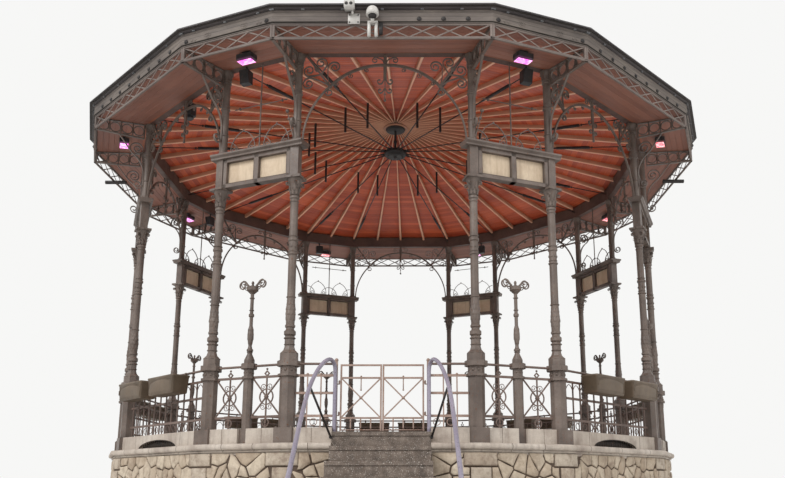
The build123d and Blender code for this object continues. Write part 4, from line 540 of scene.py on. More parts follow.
limestone = weathered(
    "dressed_limestone", [(0.40, 0.335, 0.285), (0.53, 0.465, 0.40), (0.61, 0.55, 0.485)], 0.30, (0.6, 0.85),
    0.35, 0.008, dirt=(0.17, 0.125, 0.10), dirt_amount=0.6, runs=0.45)
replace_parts(lay_mesh("coping_stones", *joined(copings), limestone, "dressed_stone", smooth=False),
            "plinth_coping")
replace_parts(lay_mesh("upstand_stones", *joined(upstands), limestone, "dressed_stone", smooth=False),
            "upstand_blocks")

vent_iron = weathered("vent_iron", [(0.035, 0.03, 0.028), (0.07, 0.055, 0.045)], 0.10, (0.5, 0.8), 0.3, 0.006,
                      metal=0.2, chips=(0.16, 0.07, 0.03), chip_share=0.03)
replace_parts(lay_mesh("vent_plates", *joined(vent_plates), vent_iron, "dark_iron"), "vent_covers")


def everywhere(shapes, angles):
    """The shapes joined and turned into every given bay."""
    return turned(*joined(shapes), angles)


vent_bars = []
for x in np.linspace(-0.52, 0.52, 17):
    top = COPING_HIGH + vent_arch(x) - 0.002
    vent_bars.append(tube([(x, -4.955, COPING_HIGH + 0.002), (x, -4.955, top)], 0.006, 6))
lay_mesh("vent_bars", *everywhere(vent_bars, WIDE_BAYS[1:]), vent_iron, "dark_iron")


# Stage floor, cellar floor and steps. The stage is worn concrete. Threshold, treads and risers are grey-brown
# granite with a coarse grain and pale chips.

stage_concrete = weathered(
    "stage_concrete", [(0.25, 0.23, 0.21), (0.35, 0.325, 0.295)], 0.6, (0.7, 0.9), 0.3, 0.006,
    dirt=(0.18, 0.16, 0.14), dirt_amount=0.4)
granite = weathered(
    "granular_granite", [(0.100, 0.074, 0.058), (0.162, 0.124, 0.099), (0.240, 0.190, 0.155)], 0.05,
    (0.6, 0.85), 0.7, 0.0045, dirt=(0.09, 0.08, 0.07), dirt_amount=0.5, runs=0.15, chips=(0.46, 0.41, 0.36),
    chip_share=0.04)
finish_node("stage_floor", stage_concrete)
finish_node("cellar_floor", stage_concrete)
for step_node in ("stair_landing", "stair_blocks", "stair_treads"):
    finish_node(step_node, granite)

STAGE_LEVEL = 2.25
RISERS = 11
GOING = 0.30
NOSING = 0.015
STAIR_HEAD = -WALL_RADIUS * cos(WIDE_HALF)
step_grooves = []
for step in range(1, RISERS):
    level = STAGE_LEVEL - step * STAGE_LEVEL / RISERS
    nose = STAIR_HEAD - step * GOING - NOSING
    reach = 0.62 + 0.022 * (step - 1)
    for back in (0.035, 0.055):
        step_grooves.append(tube([(-reach, nose + back, level), (reach, nose + back, level)], 0.0035, 6, 0.4))
lay_mesh("tread_grip_strips", *joined(step_grooves), mortar, "step_stone")


# Ironwork paint. Cast and flat iron in taupe gloss gone matt, with rust where it has flaked; the gate and
# front panels are a pinker, paler coat, and hanging iron is nearly black.

iron_paint = weathered(
    "taupe_iron", [(0.105, 0.077, 0.063), (0.150, 0.113, 0.093), (0.195, 0.152, 0.127)], 0.22, (0.38, 0.62),
    0.2, 0.010, dirt=(0.05, 0.036, 0.029), dirt_amount=0.5, runs=0.3, chips=(0.13, 0.055, 0.028),
    chip_share=0.015)
railing_paint = weathered(
    "railing_iron", [(0.125, 0.082, 0.066), (0.19, 0.132, 0.108)], 0.15, (0.4, 0.65), 0.2, 0.008,
    dirt=(0.055, 0.036, 0.028), dirt_amount=0.45, runs=0.2, chips=(0.12, 0.048, 0.024), chip_share=0.03)
gate_paint = weathered(
    "gate_iron", [(0.30, 0.205, 0.165), (0.41, 0.30, 0.25)], 0.12, (0.42, 0.62), 0.18, 0.008,
    dirt=(0.20, 0.13, 0.10), dirt_amount=0.45, runs=0.25, chips=(0.20, 0.09, 0.05), chip_share=0.03)
dark_iron = weathered(
    "dark_iron", [(0.013, 0.011, 0.011), (0.030, 0.025, 0.024)], 0.15, (0.45, 0.7), 0.2, 0.008, metal=0.1,
    dirt=(0.05, 0.04, 0.036), dirt_amount=0.35, chips=(0.09, 0.04, 0.022), chip_share=0.01)
handrail_paint = weathered(
    "lilac_tube", [(0.27, 0.245, 0.31), (0.37, 0.34, 0.41)], 0.25, (0.28, 0.5), 0.08, 0.01,
    dirt=(0.22, 0.19, 0.22), dirt_amount=0.35, chips=(0.15, 0.12, 0.12), chip_share=0.01)
for iron_node in sorted(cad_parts):
    if iron_node.startswith(("column_", "upper_", "lyre", "eave_cantilever", "eave_bracket", "bay_arch",
                             "board_cresting", "cresting_rod", "board_cornice")):
        finish_node(iron_node, iron_paint)
for iron_node in ("railing_wide", "railing_narrow", "top_rails"):
    finish_node(iron_node, railing_paint)
for iron_node in ("railing_front", "gate_left", "gate_right", "gate_posts", "gate_pins"):
    finish_node(iron_node, gate_paint)
for iron_node in ("king_rod", "tie_struts", "eave_lamps"):
    finish_node(iron_node, dark_iron)


# Handrails. One bent tube a side: it stands on the threshold, hoops over and out past the flared
# steps, and falls beside them to the ground; a dark brace steadies its upper half.

RAIL_THICK = 0.0275


def lathe(profile, sides=24):
    """A profile of (radius, z) turned round Z: x and y are the radius times the angle's cosine and sine."""
    profile = np.asarray(profile, float)
    turn = np.linspace(0, 2 * pi, sides, endpoint=False)
    ring = np.stack([np.cos(turn), np.sin(turn), np.zeros(sides)], -1)
    verts = profile[:, None, :1] * ring[None] + profile[:, None, 1:] * np.array([0, 0, 1.0])
    return verts.reshape(-1, 3), grid_faces(len(profile), sides, True)


def moved(shape, x=0.0, y=0.0, z=0.0):
    """A shape shifted by x, y and z."""
    verts, faces = shape
    return verts + np.array([x, y, z]), faces


def ball(radius, sides=14, rings=8, tall=1.0):
    """A sphere as a turned profile: radius times sine out, radius times cosine up."""
    turn = np.linspace(0, pi, rings + 1)
    return lathe(np.stack([radius * np.sin(turn), -radius * tall * np.cos(turn)], -1), sides)


def flowing(points, steps=10):
    """A smooth path through points: between two of them a cubic that leaves and arrives along half the
    way from the point before to the point after."""
    points = np.asarray(points, float)
    way = np.gradient(points, axis=0)
    t = np.linspace(0, 1, steps, endpoint=False)[None, :, None]
    start, stop, leave, arrive = (part[:, None] for part in (points[:-1], points[1:], way[:-1], way[1:]))
    curve = ((2 * t ** 3 - 3 * t ** 2 + 1) * start + (t ** 3 - 2 * t ** 2 + t) * leave
             + (3 * t ** 2 - 2 * t ** 3) * stop + (t ** 3 - t ** 2) * arrive)
    return np.concatenate([curve.reshape(-1, 3), points[-1:]])


RAIL_ROUTE = [(0.649, -4.927, 2.2503), (0.649, -4.927, 2.65), (0.649, -4.927, 3.05), (0.664, -4.950, 3.185),
              (0.705, -5.045, 3.232), (0.755, -5.185, 3.190), (0.806, -5.340, 3.092), (0.850, -5.510, 2.960),
              (0.880, -5.740, 2.798), (0.896, -6.020, 2.602), (0.902, -6.500, 2.275), (0.900, -7.300, 1.730),
              (0.894, -7.900, 1.320), (0.892, -8.150, 1.130), (0.891, -8.285, 0.985), (0.891, -8.314, 0.840),
              (0.891, -8.3145, 0.450), (0.891, -8.3145, 0.0)]
for side, side_name in ((-1, "left"), (1, "right")):
    # Both rails lean a little to the right as they fall, so the lean grows with the way from the hoop.
    route = flowing(np.array(RAIL_ROUTE) * [side, 1, 1])
    foot = route[0].copy()
    route[:, 0] += (0.062 if side < 0 else 0.046) * np.clip((-5.4 - route[:, 1]) / 2.0, 0, 1) ** 1.2
    foot_plate = moved(lathe([(0, 0), (0.044, 0), (0.044, 0.006), (0.032, 0.009), (0, 0.009)], 20), *foot)
    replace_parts(lay_mesh("handrail_tube_" + side_name, *joined([tube(route, RAIL_THICK, 14), foot_plate]),
                         handrail_paint, "handrail_paint"), "handrail_" + side_name)
BRACE_FOOT, BRACE_HEAD = np.array([0.682, -5.032, 2.175]), np.array([0.884, -5.760, 2.785])
brace_rods = []
for mirror in ([-1, 1, 1], [1, 1, 1]):
    brace_rods += [tube([BRACE_FOOT * mirror, BRACE_HEAD * mirror], 0.0150, 10),
                   moved(ball(0.024, 12, 8), *(BRACE_FOOT * mirror))]
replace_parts(lay_mesh("handrail_brace_rods", *joined(brace_rods), dark_iron, "dark_iron"), "handrail_braces")


# Columns. Cast in lengths, so the joints hide under rings: bosses between the pedestal's rings, a
# leafy sleeve over the foot of the shaft, a double ring above it, and a capital of two rows of
# leaves under four corner volutes.

PEDESTAL_APOTHEM = 0.1075
BOLT_REACH = 0.112
BOSS_RING = (3.055 + 3.158) / 2
SHAFT_RADIUS = 0.058
UPPER_RADIUS = 0.059


def rosette(radius, petals=6, sides=36, deep=0.4):
    """A flat flower that faces -Y: rings whose reach and height go with the petals' cosine, then a
    round middle."""
    turn = np.linspace(0, 2 * pi, sides, endpoint=False)
    wave = 0.5 + 0.5 * np.cos(petals * turn)
    share = np.array([1.0, 1.0, 0.72, 0.42, 0.40, 0.26, 0.0])
    rise = np.array([0.0, 0.35, 0.9, 0.45, 0.75, 1.0, 1.05])
    petal = np.array([0.22, 0.22, 0.12, 0, 0, 0, 0])
    r = radius * (share[:, None] - petal[:, None] * (1 - wave[None, :]))
    dip = 0.35 * (petal[:, None] > 0.2) * (1 - wave[None, :])
    out = radius * deep * (rise[:, None] - dip * rise[:, None])
    verts = np.stack([r * np.cos(turn), -out, r * np.sin(turn)], -1)
    return verts.reshape(-1, 3), grid_faces(len(share), sides, True)


def leaf(height, width, out, curl, lobes=3, across=7, steps=12):
    """A cast leaf that stands up and bows towards -Y: its middle rises to the height while it leans
    out, its tip rolls over by curl, and its half width is a sine with lobes cut in; a back sheet
    closes it."""
    v = np.linspace(0, 1, steps)[:, None]
    u = np.linspace(-1, 1, across)[None, :]
    half = width / 2 * (0.75 + 0.25 * np.cos(2 * pi * lobes * v)) * np.sin(pi * (0.32 + 0.66 * v)) ** 0.6
    lean = out * v ** 2
    z = height * (v - 0.30 * curl * np.maximum(v - 0.72, 0) ** 1.5 * 8)
    y = -lean - curl * height * 0.9 * np.maximum(v - 0.6, 0) ** 1.4 + 0.20 * half * u ** 2
    front = np.stack([half * u, y - 0.003 + 0 * u, z + 0 * u], -1)
    rib = 0.0035 * np.exp(-(u * 4) ** 2)
    front[..., 1] -= rib
    back = front + np.array([0, 0.006, 0])
    verts = np.concatenate([front.reshape(-1, 3), back.reshape(-1, 3)])
    sheet = grid_faces(steps, across)
    count = steps * across
    border = np.concatenate([np.arange(across), np.arange(1, steps) * across + across - 1,
                             (steps - 1) * across + np.arange(across - 2, -1, -1),
                             np.arange(steps - 2, 0, -1) * across])
    after = np.roll(border, -1)
    rim = np.stack([border, after, after + count, border + count], -1)
    return verts, np.concatenate([sheet, sheet[:, ::-1] + count, rim])


def spiral(start, heading, first, last, turns, points=26):
    """A flat curl in X-Z from a start point: its bend tightens evenly from the first radius to the
    last over so many turns; a minus sign of turns bends it the other way."""
    share = np.linspace(0, 1, points)
    radius = first + (last - first) * share ** 0.8
    angle = radians(heading) + 2 * pi * turns * share
    step = np.abs(np.gradient(angle)) * radius
    x = start[0] + np.concatenate([[0], np.cumsum(np.cos(angle[:-1]) * step[:-1])])
    z = start[1] + np.concatenate([[0], np.cumsum(np.sin(angle[:-1]) * step[:-1])])
    return np.stack([x, np.zeros(points), z], -1)


def in_bays(shapes, distance, bays):
    """Shapes drawn round the Z axis, set out by the distance towards -Y and turned into the bays."""
    verts, faces = joined(shapes)
    return turned(verts + np.array([0, -distance, 0]), faces, bays)


def at_column(shapes):
    """Shapes drawn round a column's own axis, put on every column."""
    return in_bays(shapes, COLUMN_RADIUS, COLUMN_ANGLES)


def circled(shape, count, first=0.0):
    """The shape so many times, turned evenly round Z."""
    return [spun(shape, first + k * 360 / count) for k in range(count)]


def sleeve_of(radius, low, high, end):
    """A sleeve from its radii by level and angle; its ends are drawn in to a share of the radius."""
    rows, sides = radius.shape
    share = np.linspace(0, 1, rows)[:, None]
    turn = np.linspace(0, 2 * pi, sides, endpoint=False)[None, :]
    wall = np.stack([radius * np.cos(turn), radius * np.sin(turn), low + (high - low) * share + 0 * turn], -1)
    drawn_in = [end, end, 1]
    verts = np.concatenate([wall[:1] * drawn_in, wall, wall[-1:] * drawn_in])
    return verts.reshape(-1, 3), grid_faces(rows + 2, sides, True)


bolt = lathe([(0, 0), (0.014, 0), (0.014, 0.012), (0.009, 0.018), (0, 0.018)], 6)
foot_bolts = [moved(bolt, x * BOLT_REACH, y * BOLT_REACH, UPSTAND_TOP) for x in (-1, 1) for y in (-1, 1)]
pedestal_bosses = circled(moved(rosette(0.024, 6, 24), 0, -PEDESTAL_APOTHEM - 0.001, BOSS_RING), 8)
lay_mesh("pedestal_bosses", *at_column(pedestal_bosses), iron_paint, "iron_paint")
lay_mesh("foot_bolts", *at_column(foot_bolts), iron_paint, "iron_paint", smooth=False)

# Five rows of scales, staggered by half a scale, over a sleeve that swells below its middle.
level = np.linspace(0, 1, 40)[:, None]
around = np.linspace(0, 2 * pi, 48, endpoint=False)[None, :]
swell = 0.011 * np.clip(1 - np.abs(level - 0.46) / 0.46, 0, 1)
scale_row = level * 5.0
scales = np.abs(np.cos(4 * around + pi / 2 * np.floor(scale_row))) * (1 - scale_row % 1) ** 0.6
sleeve_radius = SHAFT_RADIUS + swell + 0.0075 * scales * np.sin(pi * np.clip(level, 0.03, 0.97)) ** 0.3
lay_mesh("shaft_sleeves", *at_column([sleeve_of(sleeve_radius, 3.752, 4.105, 0.9)]), iron_paint, "iron_paint")


def ring_of(radius, level, thick, proud):
    """A rounded ring round a shaft."""
    turn = np.linspace(-pi / 2, pi / 2, 7)
    nose = [(radius + proud * np.cos(t), level + thick / 2 * np.sin(t)) for t in turn]
    return lathe([(radius - 0.004, level - thick / 2)] + nose + [(radius - 0.004, level + thick / 2)], 28)


shaft_rings = [ring_of(*sizes) for sizes in (
    (SHAFT_RADIUS, 4.155, 0.020, 0.012), (SHAFT_RADIUS, 4.790, 0.030, 0.015),
    (SHAFT_RADIUS, 4.832, 0.014, 0.008), (SHAFT_RADIUS + 0.004, 5.060, 0.016, 0.008),
    (SHAFT_RADIUS, 5.585, 0.016, 0.010), (0.066, 3.470, 0.018, 0.012),
    (0.070, 3.560, 0.022, 0.014), (0.118, 3.345, 0.016, 0.006))]
shaft_bosses = circled(moved(rosette(0.021, 5, 20), 0, -SHAFT_RADIUS - 0.001, 4.90), 6)
lay_mesh("shaft_rings", *at_column(shaft_rings), iron_paint, "iron_paint")
lay_mesh("shaft_bosses", *at_column(shaft_bosses), iron_paint, "iron_paint")

stem = spiral((0.066, 5.790), 62, 0.16, 0.11, 0.06, 8)
curl = spiral((stem[-1][0], stem[-1][2]), 84, 0.034, 0.007, -1.45, 22)
volute = tube(np.concatenate([stem[:-1], curl]), 0.0085, 8, 1.5)
capital = (circled(moved(leaf(0.115, 0.062, 0.022, 0.55), 0, -SHAFT_RADIUS - 0.012, 5.685), 8)
           + circled(moved(leaf(0.165, 0.066, 0.030, 0.5), 0, -SHAFT_RADIUS - 0.018, 5.745), 4, 22.5)
           + circled(volute, 4, 45)
           + circled(moved(rosette(0.024, 5, 20), 0, -0.122, 5.952), 4))
lay_mesh("capital_leaves", *at_column(capital), iron_paint, "iron_paint")

upper_rings = [ring_of(UPPER_RADIUS, *sizes) for sizes in (
    (6.565, 0.026, 0.016), (7.30, 0.030, 0.016), (7.35, 0.014, 0.010), (7.745, 0.024, 0.014),
    (6.86, 0.020, 0.012))]
upper_leaves = circled(moved(leaf(0.12, 0.06, 0.022, 0.5), 0, -0.066, 7.795), 8)
lay_mesh("upper_column_rings", *at_column(upper_rings + upper_leaves), iron_paint, "iron_paint")


# Lyre posts. A slender cast post in the middle of each narrow bay; its arms end in drop-shaped
# loops round small balls, with a low scroll and a finial between them.

LYRE_LOOP = [(0.052, 0, 4.385), (0.085, 0, 4.418), (0.125, 0, 4.462), (0.168, 0, 4.474), (0.196, 0, 4.440),
             (0.184, 0, 4.394), (0.142, 0, 4.366), (0.098, 0, 4.372), (0.062, 0, 4.372)]
lyre_parts = [ring_of(0.033, 3.40, 0.018, 0.010), ring_of(0.026, 4.02, 0.018, 0.010),
              ring_of(0.026, 4.20, 0.020, 0.012), moved(ball(0.021), 0, 0, 4.392),
              lathe([(0, 4.37), (0.012, 4.372), (0.010, 4.40), (0.022, 4.425), (0.015, 4.45), (0, 4.462)],
                    16)]
for side in (-1, 1):
    loop = flowing(np.array(LYRE_LOOP) * [side, 1, 1], 5)
    lower = spiral((0.075, 4.33), -8, 0.050, 0.011, 1.25, 26) * [side, 1, 1]
    lyre_parts += [tube(loop, 0.0080, 8), tube(lower, 0.0065),
                   moved(ball(0.017, 12, 8), side * 0.140, 0, 4.420),
                   tube([(side * 0.140, 0, 4.420), (side * 0.172, 0, 4.428)], 0.006, 6),
                   moved(ball(0.011, 10, 6), *lower[-1])]
scale_row = np.linspace(0, 1, 24)[:, None] * 4
around = np.linspace(0, 2 * pi, 32, endpoint=False)[None, :]
scales = np.abs(np.cos(3 * around + pi / 2 * np.floor(scale_row))) * (1 - scale_row % 1)
lyre_parts.append(sleeve_of(0.028 + 0.016 * np.sin(pi * scale_row / 4) + 0.004 * scales, 3.52, 3.78, 0))
lay_mesh("lyre_scrolls", *in_bays(lyre_parts, NARROW_DISTANCE, NARROW_BAYS), iron_paint, "iron_paint")
lyre_bosses = circled(moved(rosette(0.017, 6, 20), 0, -0.0675, BOSS_RING), 8)
lay_mesh("lyre_bosses", *in_bays(lyre_bosses, NARROW_DISTANCE, NARROW_BAYS), iron_paint, "iron_paint")


# Railings and gate. Thin flat bars with a cast rosette wherever an upright crosses the middle rail,
# rings between the lower rails and ball finials; the gate's leaves are crossed, with short spikes.

WIDE_BARS = 1.307 * (2 * np.arange(1, 14) / 14 - 1)
BAR_FACE = 0.0085
LOW_RAIL, MIDDLE_RAIL, GATE_RAIL = 2.392, 2.79, 2.281


def flowers(radius, petals, sides, x, z):
    """A flower on each face of a row of flat bars. The inner one is the outer one turned half round the
    row's middle, so it lies at -x, where a row that is alike on both sides has a bar too. For a gate
    leaf that is the other leaf's middle bar."""
    outside = moved(rosette(radius, petals, sides), x, -BAR_FACE, z)
    return [outside, spun(outside, 180)]


def flat_hoop(x0, x1, low, rise, radius=0.006, points=15):
    """A pointed hoop between two uprights: each half leans in along a quarter sine to the middle."""
    share = np.linspace(0, 1, points)
    x = x0 + (x1 - x0) * share
    z = low + rise * np.sin(pi / 2 * (1 - np.abs(2 * share - 1))) ** 0.8
    return tube(np.stack([x, np.zeros(points), z], -1), radius, 6)


def hoop(radius, x, z, wire=0.0055, sides=20):
    """A closed ring of round wire that faces -Y."""
    turn = np.linspace(0, 2 * pi, sides, endpoint=False)
    ring = np.linspace(0, 2 * pi, 6, endpoint=False)
    r = radius + wire * np.cos(ring)[None, :]
    verts = np.stack([x + r * np.cos(turn)[:, None], wire * np.sin(ring)[None, :] + 0 * turn[:, None],
                      z + r * np.sin(turn)[:, None]], -1)
    loop = np.concatenate([verts, verts[:1]])
    return loop.reshape(-1, 3), grid_faces(sides + 1, 6, True)


wide_trim = []
for x in WIDE_BARS:
    wide_trim += flowers(0.024, 6, 20, x, MIDDLE_RAIL)
for left, right in zip(WIDE_BARS[:-1], WIDE_BARS[1:]):
    wide_trim += [hoop(0.046, (left + right) / 2, LOW_RAIL), flat_hoop(left, right, 2.895, 0.10)]
lay_mesh("wide_railing_trim", *in_bays(wide_trim, WIDE_DISTANCE, WIDE_BAYS[1:]), railing_paint,
         "railing_paint")

narrow_trim = []
for middle in (-0.309, 0.309):
    narrow_trim += flowers(0.034, 8, 24, middle, 2.755) + flowers(0.020, 6, 18, middle, 2.3925)
    narrow_trim.append(moved(ball(0.016, 12, 8), middle, 0, 3.146))
    for turn in (-1, 1):
        for foot, heading, bend in ((2.90, 90, -1), (2.61, 270, 1)):
            curl = spiral((middle + turn * 0.012, foot), heading + bend * turn * 25, 0.045, 0.010,
                          bend * turn * 1.2, 24)
            narrow_trim.append(tube(curl, 0.0055, 6))
lay_mesh("narrow_railing_trim", *in_bays(narrow_trim, NARROW_DISTANCE, NARROW_BAYS), railing_paint,
         "railing_paint")

PANEL_BARS = (0.662, 0.849, 1.038)
front_trim = []
for side in (-1, 1):
    for x in PANEL_BARS[1:]:
        front_trim += flowers(0.024, 6, 20, side * x, MIDDLE_RAIL)
        front_trim.append(moved(ball(0.019, 12, 8), side * x, 0, 3.052))
    for x0, x1 in zip(PANEL_BARS[:-1], PANEL_BARS[1:]):
        front_trim.append(hoop(0.048, side * (x0 + x1) / 2, LOW_RAIL))
    front_trim.append(moved(ball(0.027, 16, 10), side * 0.640, 0, 3.250))
    front_trim.append(moved(ring_of(0.010, 3.238, 0.014, 0.014), side * 0.640, 0, 0))
lay_mesh("front_panel_trim", *in_bays(front_trim, WIDE_DISTANCE, 0), gate_paint, "gate_paint")

for side, leaf_node, leaf_body in ((-1, "gate_left", "left_leaf"), (1, "gate_right", "right_leaf")):
    middle = side * 0.293
    leaf_trim = flowers(0.024, 6, 20, middle, (3.0 + 2.445) / 2)
    leaf_trim += [tube([(middle, 0, 2.83), (middle, 0, 2.995)], 0.0075, 8),
                  moved(ball(0.013, 12, 8), middle, 0, 2.832), moved(ball(0.013, 12, 8), middle, 0, 3.020),
                  tube([(side * 0.020, 0, GATE_RAIL), (side * 0.566, 0, GATE_RAIL)], 0.0085, 8)]
    for share in (0.25, 0.5, 0.75):
        x = side * (0.016 + 0.554 * share)
        leaf_trim += [tube([(x, 0, GATE_RAIL), (x, 0, 2.405)], 0.007, 8),
                      moved(ball(0.014, 12, 8, 1.3), x, 0, 2.405)]
    lay_mesh(leaf_node + "_trim", *in_bays(leaf_trim, WIDE_DISTANCE, 0), gate_paint, "gate_paint",
             body=leaf_body)


# Name boards and cresting. Framed boards between the piers with bare painted panels in both faces,
# a moulded shelf, and wrought cresting tied with collars and ended in balls.

PANEL_IN, PANEL_OUT, FRAME_END = 0.040, 0.533, 0.5935
PANEL_LOW, PANEL_HIGH = 6.031, 6.379
FRAME_DEEP = 0.124
panel_paint = weathered(
    "bare_panel", [(0.56, 0.44, 0.31), (0.72, 0.59, 0.44)], 0.25, (0.45, 0.7), 0.12, 0.01,
    stretch=(1, 1, 0.25), dirt=(0.30, 0.19, 0.12), dirt_amount=0.4, runs=0.45)


def bar(start, stop, wide, deep, bevel=0.15):
    """A flat bar in a bay's plane between two points: a bevelled section, wide across the bar in the
    plane and deep square to it, closed at both ends."""
    start, stop = np.asarray(start, float), np.asarray(stop, float)
    heading = (stop - start) / np.linalg.norm(stop - start)
    out = np.array([0, -1.0, 0]) if abs(heading[1]) < 0.9 else np.array([0, 0, 1.0])
    side = np.cross(heading, out)
    side /= np.linalg.norm(side)
    cut_a, cut_b = bevel * min(wide, deep) / wide, bevel * min(wide, deep) / deep
    section = np.array([(-0.5 + cut_a, -0.5), (0.5 - cut_a, -0.5), (0.5, -0.5 + cut_b), (0.5, 0.5 - cut_b),
                        (0.5 - cut_a, 0.5), (-0.5 + cut_a, 0.5), (-0.5, 0.5 - cut_b), (-0.5, -0.5 + cut_b)])
    ring = section[:, :1] * wide * side + section[:, 1:] * deep * out
    return capped([start + ring, stop + ring])


board_low, board_high = (corner.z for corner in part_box("name_boards"))
frames = [bar((0, 0, board_low), (0, 0, board_high), 2 * PANEL_IN, FRAME_DEEP, 0.04)]
for low, high in ((board_low, PANEL_LOW), (PANEL_HIGH, board_high)):
    middle = (low + high) / 2
    frames.append(bar((-FRAME_END, 0, middle), (FRAME_END, 0, middle), high - low, FRAME_DEEP, 0.04))
panels, beads = [], []
for side in (-1, 1):
    stile = side * (PANEL_OUT + FRAME_END) / 2
    frames.append(bar((stile, 0, board_low), (stile, 0, board_high), FRAME_END - PANEL_OUT, FRAME_DEEP, 0.04))
    for face in (-1, 1):
        u = np.linspace(PANEL_IN, PANEL_OUT, 9)[:, None] * side
        v = np.linspace(PANEL_LOW, PANEL_HIGH, 7)[None, :]
        bow = 0.003 * np.sin(pi * (np.abs(u) - PANEL_IN) / (PANEL_OUT - PANEL_IN)) * np.sin(
            pi * (v - PANEL_LOW) / (PANEL_HIGH - PANEL_LOW))
        sheet = np.stack([u + 0 * v, face * (0.008 + bow), v + 0 * u], -1).reshape(-1, 3)
        quads = grid_faces(9, 7)
        panels.append((sheet, quads if side * face > 0 else quads[:, ::-1]))
        for x0, x1, z0, z1 in ((PANEL_IN, PANEL_OUT, PANEL_LOW, PANEL_LOW),
                               (PANEL_IN, PANEL_OUT, PANEL_HIGH, PANEL_HIGH),
                               (PANEL_IN, PANEL_IN, PANEL_LOW, PANEL_HIGH),
                               (PANEL_OUT, PANEL_OUT, PANEL_LOW, PANEL_HIGH)):
            for out, thick in ((0.014, 0.007), (FRAME_DEEP / 2, 0.004)):
                beads.append(tube([(side * x0, face * out, z0), (side * x1, face * out, z1)], thick, 8))
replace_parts(lay_mesh("board_frames", *in_bays(frames, NARROW_DISTANCE, NARROW_BAYS), iron_paint,
                     "board_paint", smooth=False), "name_boards")
lay_mesh("board_panels", *in_bays(panels, NARROW_DISTANCE, NARROW_BAYS), panel_paint, "board_panel",
         closed=False)
lay_mesh("board_beads", *in_bays(beads, NARROW_DISTANCE, NARROW_BAYS), iron_paint, "board_paint")

COLLAR_LEVEL = 6.5485
SPEAR_OUT = -0.06
crest = [ring_of(0.011, level, 0.020, 0.009) for level in (6.56, 6.745, 7.245, 7.285, 7.93)]
for side in (-1, 1):
    crest += [moved(ring_of(0.004, COLLAR_LEVEL, 0.018, 0.008), side * x) for x in (0.08, 0.215, 0.385, 0.52)]
    crest += [moved(ball(radius, 12, 8), side * x, 0, z)
              for radius, x, z in ((0.015, 0.30, 6.902), (0.012, 0.108, 6.588), (0.012, 0.492, 6.588))]
lay_mesh("cresting_collars", *in_bays(crest, NARROW_DISTANCE, NARROW_BAYS), iron_paint, "iron_paint")
for spear_name, side, bay in (("cresting_spear_left", 1, -22.5), ("cresting_spear_right", -1, 22.5)):
    stalk = np.linspace((side * 0.650, SPEAR_OUT, 6.540), (side * 0.520, SPEAR_OUT, 7.020), 6)
    spear = [tube(stalk, np.linspace(0.012, 0.007, 6))]
    for radius, sides, rings, x, z in ((0.030, 16, 10, 0.520, 7.030), (0.026, 16, 10, 0.553, 6.900),
                                       (0.018, 12, 8, 0.575, 6.815)):
        spear.append(moved(ball(radius, sides, rings), side * x, SPEAR_OUT, z))
    lay_mesh(spear_name, *in_bays(spear, NARROW_DISTANCE, bay), iron_paint, "iron_paint")


# Ceiling. Narrow varnished boards laid across each bay over lighter rafters that taper towards the
# hub, with a shadow line at every joint; the boards of the eaves run the same way.

BEAM_TOP = 8.215
ROOF_SLOPE = 0.2048
BOARD_WIDTH = 0.105
board_draw = np.random.default_rng(11)


def roof_under(corner_radius):
    """Height of the underside of the roof boards over a corner line."""
    return BEAM_TOP + (COLUMN_RADIUS - corner_radius) * ROOF_SLOPE


def boards_across(half_angle, start, stop, height, drop=0.006):
    """Boards across a bay between two distances from the middle: each has a face let down by drop and
    a bevel up to the joint on both sides, and is cut at the two corner lines, so its half length is
    the distance times the tangent of the half angle."""
    count = max(int(round((stop - start) / BOARD_WIDTH)), 1)
    edges = np.linspace(start, stop, count + 1)
    bevel = 0.006
    d = np.stack([edges[:-1], edges[:-1] + bevel, edges[1:] - bevel, edges[1:]], -1)
    fall = np.array([0.0005, drop, drop, 0.0005])
    z = height(d / cos(half_angle)) - fall
    half = d * tan(half_angle) - 0.001
    share = np.array([-1.0, 1.0])
    verts = np.stack([share[None, None, :] * half[:, :, None],
                      -d[:, :, None] + 0 * share, z[:, :, None] + 0 * share], -1)
    faces = (grid_faces(4, 2)[None] + (np.arange(count) * 8)[:, None, None]).reshape(-1, 4)
    tone = np.repeat(board_draw.uniform(0, 1, count), 8)
    slide = board_draw.uniform(0, 20, count)[:, None, None]
    along = np.stack([verts[..., 0] + slide, d[:, :, None] + 0 * share + slide], -1)
    return verts.reshape(-1, 3), faces, tone, along.reshape(-1, 2)


def varnished(name, colours, tones, rough=(0.35, 0.6)):
    """Board timber: a noise drawn out twentyfold along each board gives the grain, the tone shifts board by
    board, or on the rafters paints shade on their sides, and broad patches are darker where damp has come
    through."""
    material, tree, shader, place = blank_finish(name)
    along = add_node(tree, "ShaderNodeAttribute", attribute_name="along").outputs["Vector"]
    grain = noise_of(tree, along, 0.012, 6.0, 0.65, stretch=(0.05, 1, 1))
    tone = add_node(tree, "ShaderNodeAttribute", attribute_name="tone").outputs["Fac"]
    colour = mixed(tree, sharpened(tree, grain, 0.3, 0.7), rgba(colours[0]), rgba(colours[1]))
    colour = mixed(tree, 0.5, colour, mixed(tree, tone, rgba(tones[0]), rgba(tones[1])))
    damp = sharpened(tree, noise_of(tree, place, 0.7, 5.0, 0.65), 0.5, 0.75, 0.0, 0.5)
    colour = mixed(tree, damp, colour, rgba([c * 0.45 for c in colours[0]]))
    tree.links.new(colour, shader.inputs["Base Color"])
    tree.links.new(sharpened(tree, grain, 0.2, 0.8, rough[0], rough[1]), shader.inputs["Roughness"])
    add_relief(tree, shader, grain, 0.25, 0.004)
    return material


